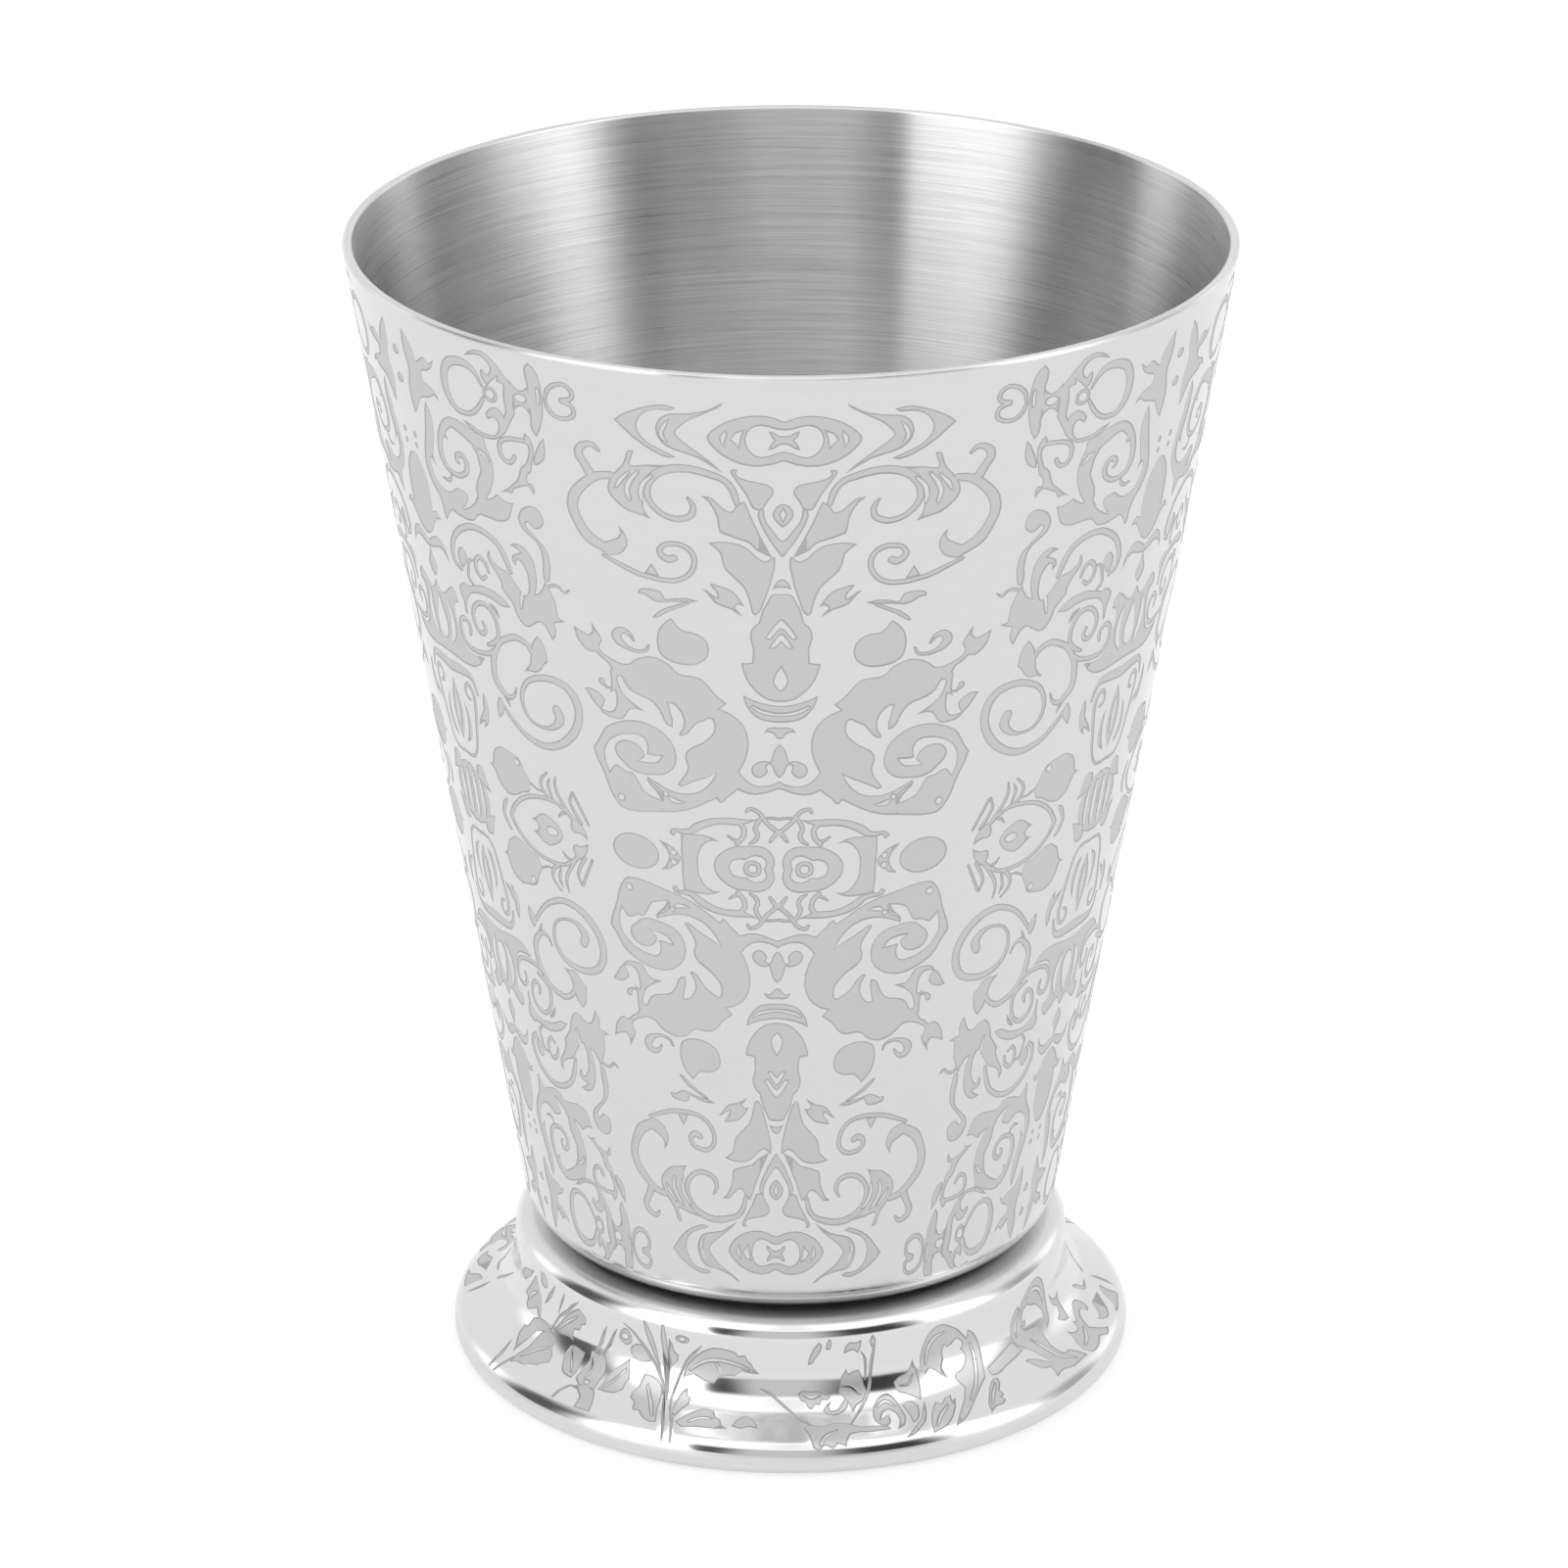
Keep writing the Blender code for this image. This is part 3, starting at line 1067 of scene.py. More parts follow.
    Motif("medallion", """
    oval 23,-.3,4,1.88
    leaf 15.4,-.2 15.8,.35 16.6,.85 17.6,1.2 19,1.45! 18.1,.8 17.6,.35 17.4,-.2 17.6,-.75 18,-1.2
      18.8,-1.75! 17.5,-1.6 16.6,-1.25 15.8,-.75
    leaf 15.3,-.55 15.35,.9 15.2,2.5! 13.9,2.6 12.4,2.65 11.1,2.62 9.9,2.4 9,2.05! 10.1,2.14 11.3,1.82
      12,1.25 12.5,.6 12.65,0 12.65,-.55
    leaf 16.4,2.05! 17.1,2.35 16.8,2.8 15.9,3 15,3 14,3.2 13.2,3.7 11.9,4.2 10.4,4.53 8.6,4.73 7.1,4.78
      5.6,4.75 4.2,4.72 2.8,4.85! 4.6,4.3 6.1,3.95 7.3,4 9.1,3.92 10.6,3.62 12.1,3.1 13.4,2.55! 15,2.4
      15.9,2.55
    leaf .8,-.55! .55,.1 .6,.6 1.1,1.25 2,1.75 3.2,1.95 5,1.9 6.6,1.8 8.1,1.4 9.4,.7 10,.1 10.15,-.55
    vine 5.9,4.2,.6 5.3,3.6 5.5,2.8 6.4,2.1
    vine 6.4,2.35,.45 7.1,2.5,.4 7.8,2.85,.3
    vine 2.7,4.9,.5 3.4,4.2,.52 3.6,3.7 3.2,3.15 3.6,2.5,.5 4.4,2.15,.4
    vine 4.9,5.55,.42 4.5,5.85,.45 3.5,5.7,.5 2.7,5.25 2.1,4.6,.52 1.2,4 0,3.5
    vine 0,3.5,.52 .7,3 1.3,2.45,.4
    vine 0,4.85,.36 .9,4.95 1.9,4.95
    bare oval 16.6,.32,.4,.25
    bare oval 16.6,-.7,.4,.25
    bare leaf 2.3,-.55! 2,0 2,.3 2.6,.72 3.7,.82 4.6,.6 5.1,.35! 6.3,.37 7.2,.1 7.65,-.55
    inlaid vine 3,-.55,.55 3.2,-.1 4.05,.1 4.9,-.1 5.1,-.55""", sag=0.4),
    Motif("heart", """
    vine 31.3,45,.38 30.9,46,.5 29.8,46.7 28.4,46.9 27.4,46.4 27.3,45.8 28,45.4,.55 28.8,45.3,.6
    vine 31.3,45,.38 30.9,44.1,.5 29.8,43.5 28.4,43.5 27.3,44 27.3,44.7 28,45.1,.55 28.8,45.2,.6
    leaf 33.4,48.4! 34.1,47.8 34.1,46.8 33.9,46.2 34,45.6 34,43.8 33.9,43 34,42.3 33.8,41.6 33.2,41!
      32.6,41.7 32.1,42.6 31.8,43.4 31.6,45 31.7,46 31.9,47 32.5,47.9
    leaf 33.5,46.3! 34.2,45.7 34.9,45.4 35.6,45.5 36.7,46.2! 36.8,42.8! 35.8,43.6 35,43.8 34.4,43.6
      33.6,42.7! 33.2,44.5
    bare vine 32.4,45.9,.15 32.35,45.2,.25 32.4,44.5,.15
    bare oval 35.15,44.6,.85,.36"""),
    Motif("c scroll", """
    leaf 36.2,45.6 37,46.2 37.8,46.9 38.6,47.5 39.7,48.1 41,48.4 42.5,48.2 43.5,47.8 44,47.4! 43,47.6
      42,47.8 41,47.8 40.1,47.4 39.7,46.9 39.9,46.4 40.4,46.1 40.9,46.5 41.3,46.5 41.5,46 41.2,45.4
      40.6,44.9! 39.6,45.6 38.6,46.2! 38.8,45.7 37.8,45.5 38,44.5 37.9,43.5 37.9,42.8 38.3,42.3!
      38.4,42.6 39.3,43 40.2,42.9 41,42.5 41.5,42 41.2,41.5! 40.6,41.7 40.2,41.9 39.6,41.7 39.4,41.2
      39.6,40.6 40.3,40.1 41.5,40 43,40.1 44.5,40.5 46.2,40.7! 45,40.1 43.6,39.7 42,39.5 40.5,39.6
      39.3,40 38.3,40.6 37.6,41.4 36.9,42.2 36.3,42.8 36.4,43.6
    oval 40.2,44.2,1.3,.85
    vine 41.5,44.8,.35 42.1,45.6,.5 43.1,46.3,.75 44.5,46.6,.9 46,46.5,1 47.4,46.1 48.3,45.3 48.7,44.3
      48.6,43.2,.95 48,42.2,.8 46.8,41.5,.7 45.3,41.4,.6 43.9,41.7 42.7,42.4,.55 41.9,43.1,.5
      41.4,43.7,.4
    bare oval 40.2,44.2,.65,.42"""),
    Motif("left spiral", """
    vine 37.2,38.5,.48 37.6,38,.54 38.3,37.7 39.2,37.9 39.7,38.6 39.6,39.4 38.9,39.9 37.5,40.2 36.2,40.3
      35,40.3 34.4,40 34.4,39 34.9,38.2 35.6,37.4
    leaf 33.8,40! 34.3,40.8 35,41.2! 35.4,40.7 35.2,40.1!
    leaf 32.1,41.1! 32.8,40.6 33.4,39.9 33.9,39.1 34.2,38.4 34,38.1 33,38.4 32.3,39 32,39.9
    leaf 34.3,38.2! 34.7,37.3 35.4,36.8 35.4,36.1 34.7,36.1 34.4,35.6 34.6,35! 34.9,35.3 35.4,35.7
      36,35.7 37,35.4 37.9,35.1 38.4,34.5! 39.2,34.6 40.5,34.4! 39.5,34.8 38.4,35.4 37.3,36.1 36.8,36.8
      36.4,37.5 35.1,38.2"""),
    Motif("comma", """
    leaf 33.5,32.6 33.9,33.4 34.8,33.8 36,33.7 37.2,33.2 37.9,32.3 37.9,31.9 37.4,31.2 36.2,30.6 35,30
      34.5,29.2 34.4,28.2 34.6,27.2 34.4,26.3 33.7,26.3 33.3,27.2 33.1,28.2 33.3,29.2 34,30 35.2,30.7
      36.5,31.5 36.6,31.9 36.2,32 35.2,31.5 34.2,31.7 33.6,32.2"""),
    Motif("wave", """
    vine 44,38.9,1.65 46.5,39.6,1.43 49,39.8,1.1 50.8,38.8,.99 51.9,37.3,.83 52,35.9 51.2,34.9,.66
      49.5,34.5,.61 47.8,34.7 46.7,35.4,.66 46.6,36.3 47.4,36.8 48.4,36.6 48.6,36.1,.55 48.2,35.9,.44
    leaf 50.4,39! 49.9,37.8! 51.2,38.2
    vine 50.3,34.3,.33 50.6,33.8,.44 51.4,33.5 52.4,33.6,.33
    leaf 42.3,39.4 42.2,38.7 41.6,37.8 41.3,36.9 41.4,35.8 41.8,34.9 42.4,34.1 43.2,33.3 43.9,32.7
      45,31.6 46.3,31.6! 45.6,32.3 45.3,33 45.3,33.8 45,34.6 44.4,35.3 43.9,36 44,36.6 44.2,37.4 45,38.4
      44.6,39.4 43.4,39.8
    bare vine 42.1,37.2,.12 43,37.8,.25 43.8,38,.12"""),
    Motif("long leaf", """
    leaf 38.4,33.6! 39.5,33.5 40.5,33.7 41.3,34 42,33.6! 43.2,33.2 45.2,33 46.4,32.2 47.2,31.9 48.3,31.5!
      47.4,32.2 47.3,32.8 48.5,33.1 49.6,33.1 50.6,32.6 52,32.3 53.6,32.6 54.6,33.3 55,34 54.9,35.1
      53.6,34.3! 54.2,35.2 53.9,36.2 53.3,37.5 53,38.9 53.2,40 54,40.9! 54.5,40.2 54.9,39 55.4,37.7
      56,36.5 56.5,35.3 56.7,34.2 56.3,33.1 55.4,32.1 54.4,31.4 53.8,30.3 53.6,29.3 53.2,29.1! 52.4,29.9
      51.5,30.4 50,30.2 48,30.1 46.5,30.4 45.5,31.1 43.8,31.2 41.8,31.15 40.3,31.4 39.4,31.9 38.9,32.7
    bare vine 45.8,32.5,.12 47.2,31.8,.25 48.6,31.2,.12"""),
    Motif("star leaf", """
    leaf 57.6,47.5! 56.6,47 55.7,46.2 55,45.3 54.9,44.7 53.6,45.3 52.8,45.5 51.8,45.1 50.6,45.7! 51,45
      51.6,44.5 52.8,44.1 53.8,43.9 53.9,43.4 53.4,42.9 52.3,42.7 51.2,42.3 50.6,41.5! 51.6,41.9
      52.5,41.5 53.6,41.3 55,41 56,40.1 56.8,39.3 57.3,39! 57.7,40 57.9,41.2 57.6,42.4 57.2,43.2 57.2,44
      57.7,45 57.8,46
    oval 60,44.8,.9,.5
    oval 60,42,.9,.5
    oval 58.5,36.6,.5,.35
    oval 58.6,35.5,.45,.3"""),
    Motif("bud", """
    leaf 60,34.6 59.2,34.5 58.2,33.8 57.3,32.7 57,31.6 56.9,30.3 57,29.2 56.2,29.4 55.5,29.2 55,28.6!
      56,28.6 57,28 57.8,27.2 58.8,26.6 60,26.3
    leaf 60,25.7! 58.8,26.2 57.4,26.6 56,26.4 55,25.6 54.6,24.2! 55.6,25.2 56.8,25.5 58.2,25.2 60,24.9!
    leaf 60,25! 59.3,24 58.7,23.2 59.2,22.4 60,21.9!"""),
    Motif("hub", """
    vine 34,25.8,.4 33,26.1 32,26 31.2,25.6,.35 30.4,26,.2
    leaf 34.4,26.3! 34.9,25.6 35.7,24.9 36.4,24.7 36,25.4 35.8,26.2 35.8,27 36,28 36.8,28.9 38,29.4
      39.2,29.4 40.1,29.1! 39,28.9 38.3,28.6! 39,28.4 39.8,28.1 40,27.5 39.3,27! 39.3,27.5 38.8,27.8
      38.2,27.5 37.6,26.9 37.4,26 37.5,25 38.2,24.2 39.4,24.8 40.4,25.6 41.4,26.2 42.4,26.3 43.5,26.6
      44.2,27 44.4,27.9! 45,27.2 44.9,26.6 44.2,26 43.4,25.4 42.8,24.7 42.8,24.1 41.9,23.5 41,22.9!
      40.6,22 39.8,21.2 39,20.9 38.2,21 37.2,21.4 36.2,21.8 35.4,21.6 34.8,21 34.2,20.2! 33.7,20.6
      33.4,21.3 33.5,22.1 32.6,22.3 31.5,22.6! 32.7,22.8 32.8,23.4 32.9,24.3 33.3,24.9 33.7,25.6
    leaf 37,20.3! 36.2,19.8 35.7,18.9 35.5,17.8! 36.3,17.4 37,16.7 38,16.3 39.5,16.2 40.5,16! 39.8,16.5
      39.1,17.1 38.8,17.8 38.3,19.2
    bare vine 38.3,25.2,.12 39,24,.3 39.4,22.8,.12"""),
    Motif("big arch", """
    vine 40.6,26.2,.56 41.3,27.5,.73 42.3,28.6 44,29.3 46,29.6 48,29.5 50,28.9 51.7,28 52.8,26.9
      53.2,25.8 52.7,24.9,.67 51.5,24.5,.56
    leaf 49.6,26.1 50,26.7 50.8,26.9 51.6,26.5 52,25.8 51.6,25 51,24.7 50.2,25.2
    vine 45.2,25.4,.45 45.6,26.2,.56 46.8,26.6 47.8,26 47.8,25 46.8,24.4,.5 45.9,24.8,.45
    vine 48.4,26,.34 49.2,25.8,.45 49.8,24.8 50,23.9 49.2,23.4
    leaf 41.5,22.4! 43,23.2 45,23.6 47.5,23.6 49.4,23.2 50.5,23 51.6,23.1 52.8,22.5 52.9,22 52.3,21
      52.3,20 51.8,19.6! 51.6,20.6 51,21.6 50,22.2 48,22.6 45.5,22.6 43.4,22.2"""),
    Motif("volute", """
    vine 47.8,17.4,.48 46.3,17.9,.6 45.1,18.7 44.9,19.7 45.3,20.7 46.2,21.4 47.5,21.7 49,21.4 50.1,20.6
      50.4,19.7 50,18.9 49.2,18.4 48.3,18.5 47.8,19 48.2,19.6,.48
    vine 44.3,20.9,.24 45,21.6,.6 46,22,.24
    vine 51.9,17.7,.48 51.6,18.4,.6 52.2,19 53.2,19.1 54.1,18.6 54.3,17.8 53.9,16.9 53,16.3 51.5,16.1
      49.5,16.2 47.5,16.6 46.3,17.2,.48
    leaf 60,21.6 59,20.8 58.3,20.6 57.2,21 56.3,21.5 55,21.9 54,21.3 53.9,20.5! 55,20.2 55.4,19.2 55,17.8
      54.4,16.6 53,15.7 51,15.6 49,15.8! 50.4,14.8 52.2,14.2 54.4,14 57,14.1 60,14.2
    bare leaf 60,20! 59.1,18.6 58.6,17.3 58.9,16.2 60,15.7
    bare leaf 57.4,20.1! 56.4,19 56.1,17.7 56.6,16.4 57.9,15.5! 57.4,16.8 57.1,18.3"""),
    Motif("s arch", """
    vine 38.3,18.2,.56 39.2,19,.67 41,19.4,.73 43,19 44.8,18.3 46,17.3,.78 46.9,16.2,.9 47.2,15 47.2,14.2
      46.6,13.4 45.5,12.8,.78 44.6,11.6,.22
    vine 42.6,13.9,.28 43.3,13,.45 44.5,12.6,.62 45.5,12.8,.67"""),
    Motif("big spiral", """
    vine 46,11.3,.55 44.5,10.3,.61 42.5,9.3,.67 40.5,8.8,.73 38.4,8.6,.79 36.2,8.9,.85 34,9.7,.92
      32.2,10.9,.98 31.1,12.3 30.9,13.6 31.4,14.7 32.6,15.6,.92 34.5,16,.85 36.5,16,.79 38.6,15.6,.73
      40.3,14.9,.61 41.4,13.8 41.7,12.6,.55 41.2,11.5,.49 40,10.8,.43 38.4,10.6,.37 36.8,10.7,.49
      35.2,11.3,.85 34.5,12.1,1.16 34.9,12.9,1.1
    leaf 46,11.4 46.4,12.1 46.9,12.2 47.6,11.5 47.9,10.6 47.6,9.8! 46.9,10.2 46.2,10.8
    leaf 51,11.8! 50.4,11 50.2,10 50.5,9.1 51.2,8.3 52.2,7.8! 51.8,8.6 53.7,7.8! 53.2,8.6 52.2,9.4
      51.6,10 51.6,10.7"""),
    Motif("centre cluster", """
    vine 52.7,11.2,.4 53.2,12.3,.6 54.2,12.9,.8 56,13,1 58,12.9,1.1 60,12.8,1.2
    vine 60,3.8,.4 58.5,3.7 57,3.9 55.9,4.6 55.2,5.7,.45 54.8,7,.5 54.3,8.4,.55 53.9,9.6,.6 53.8,10.6
      54.3,11.5,.55 55.4,11.8,.5 56.2,11.2,.45 56,10.4 55.2,10.2,.4
    leaf 60,11.6! 58.9,9.9 58.4,8.2 58.9,6.4 60,5!
    leaf 58.6,5! 57.7,6.2 57.2,7.7 57.5,9.6! 56.6,8.6 56.2,7.1 56.9,5.7
    leaf 53.4,.7! 54.2,1.9 54.8,2.9 55.8,3.2 57,2.9 57,1.7 55,.9
    leaf 54.5,-.55 54.6,.2 55.6,1.2 57.2,2.2 60,2.6 60,-.55
    bare vine 60,10,.15 60,8.2,.45 60,6.6,.15
    bare vine 56.7,-.55,.5 56.7,.4,.4 56.9,1.4,.2
    bare vine 58.8,-.55,.5 58.8,.6 59,1.7,.2"""),
    Motif("leaf ball", """
    leaf 42.5,4.1 43.3,4.9 44,5.9 44.7,6.3 45.6,6.4 47.8,6.7 49.3,6.5 50.4,6 51.1,5.2 51.4,4.4 52.4,4.2!
      51.3,3.8 50.8,3.2 50.3,2.5 49.3,2 48.3,1.7 46,2 44.5,2.6 43,2.9
    bare oval 45,5.7,.5,.3""", sag=0.0),
    Motif("rayed ring", """
    vine 36,2.45,.4 38,2.85,.52 40,2.85 42,2.65 44,2.2,.57 45.8,1.5 47,.8 47.9,0,.63 48.3,-.55,.69
    vine 48.9,1.05,.29 49.6,.6,.57 50.1,0 50.3,-.55,.63
    leaf 36.6,-.55 37.2,.2 38.4,.8 40,1.15 41.3,.9 42.2,.45 43.3,.1! 42.3,-.1 41.9,-.55
    leaf 31.7,-.4 31.8,.2 32.4,1 33.2,1.5 34,1.7 34.7,1.2 34.8,.3 34.2,.05 33.2,.1 32.4,-.1
    vine 34.2,1.5,.57 35.2,2.1 36.4,2.5
    vine 35.6,1.9,.34 36.4,1.8,.4 37.1,1.3,.23
    vine 31.2,1.3,.34 32.3,2.7,.4 33.6,4.3
    vine 33.8,4.4,.34 34.4,3.4,.4 33.8,2.4,.46 32.6,1.3
    vine 36.8,5.6,.23 37.1,4.7,.4 36.8,3.8,.46 35.9,2.9 34.6,1.8,.52
    vine 38,5.3,.17 38.5,4.5,.46 38,3.2,.29
    vine 38.5,5.7,.34 39.6,5.1,.4 40.1,4.3,.46 39.4,3.4,.52 38.4,3,.46
    vine 40,3.5,.23 41,3.55,.29 42.6,4,.34
    bare oval 38.9,-.55,1.1,.38""", sag=0.0),
)

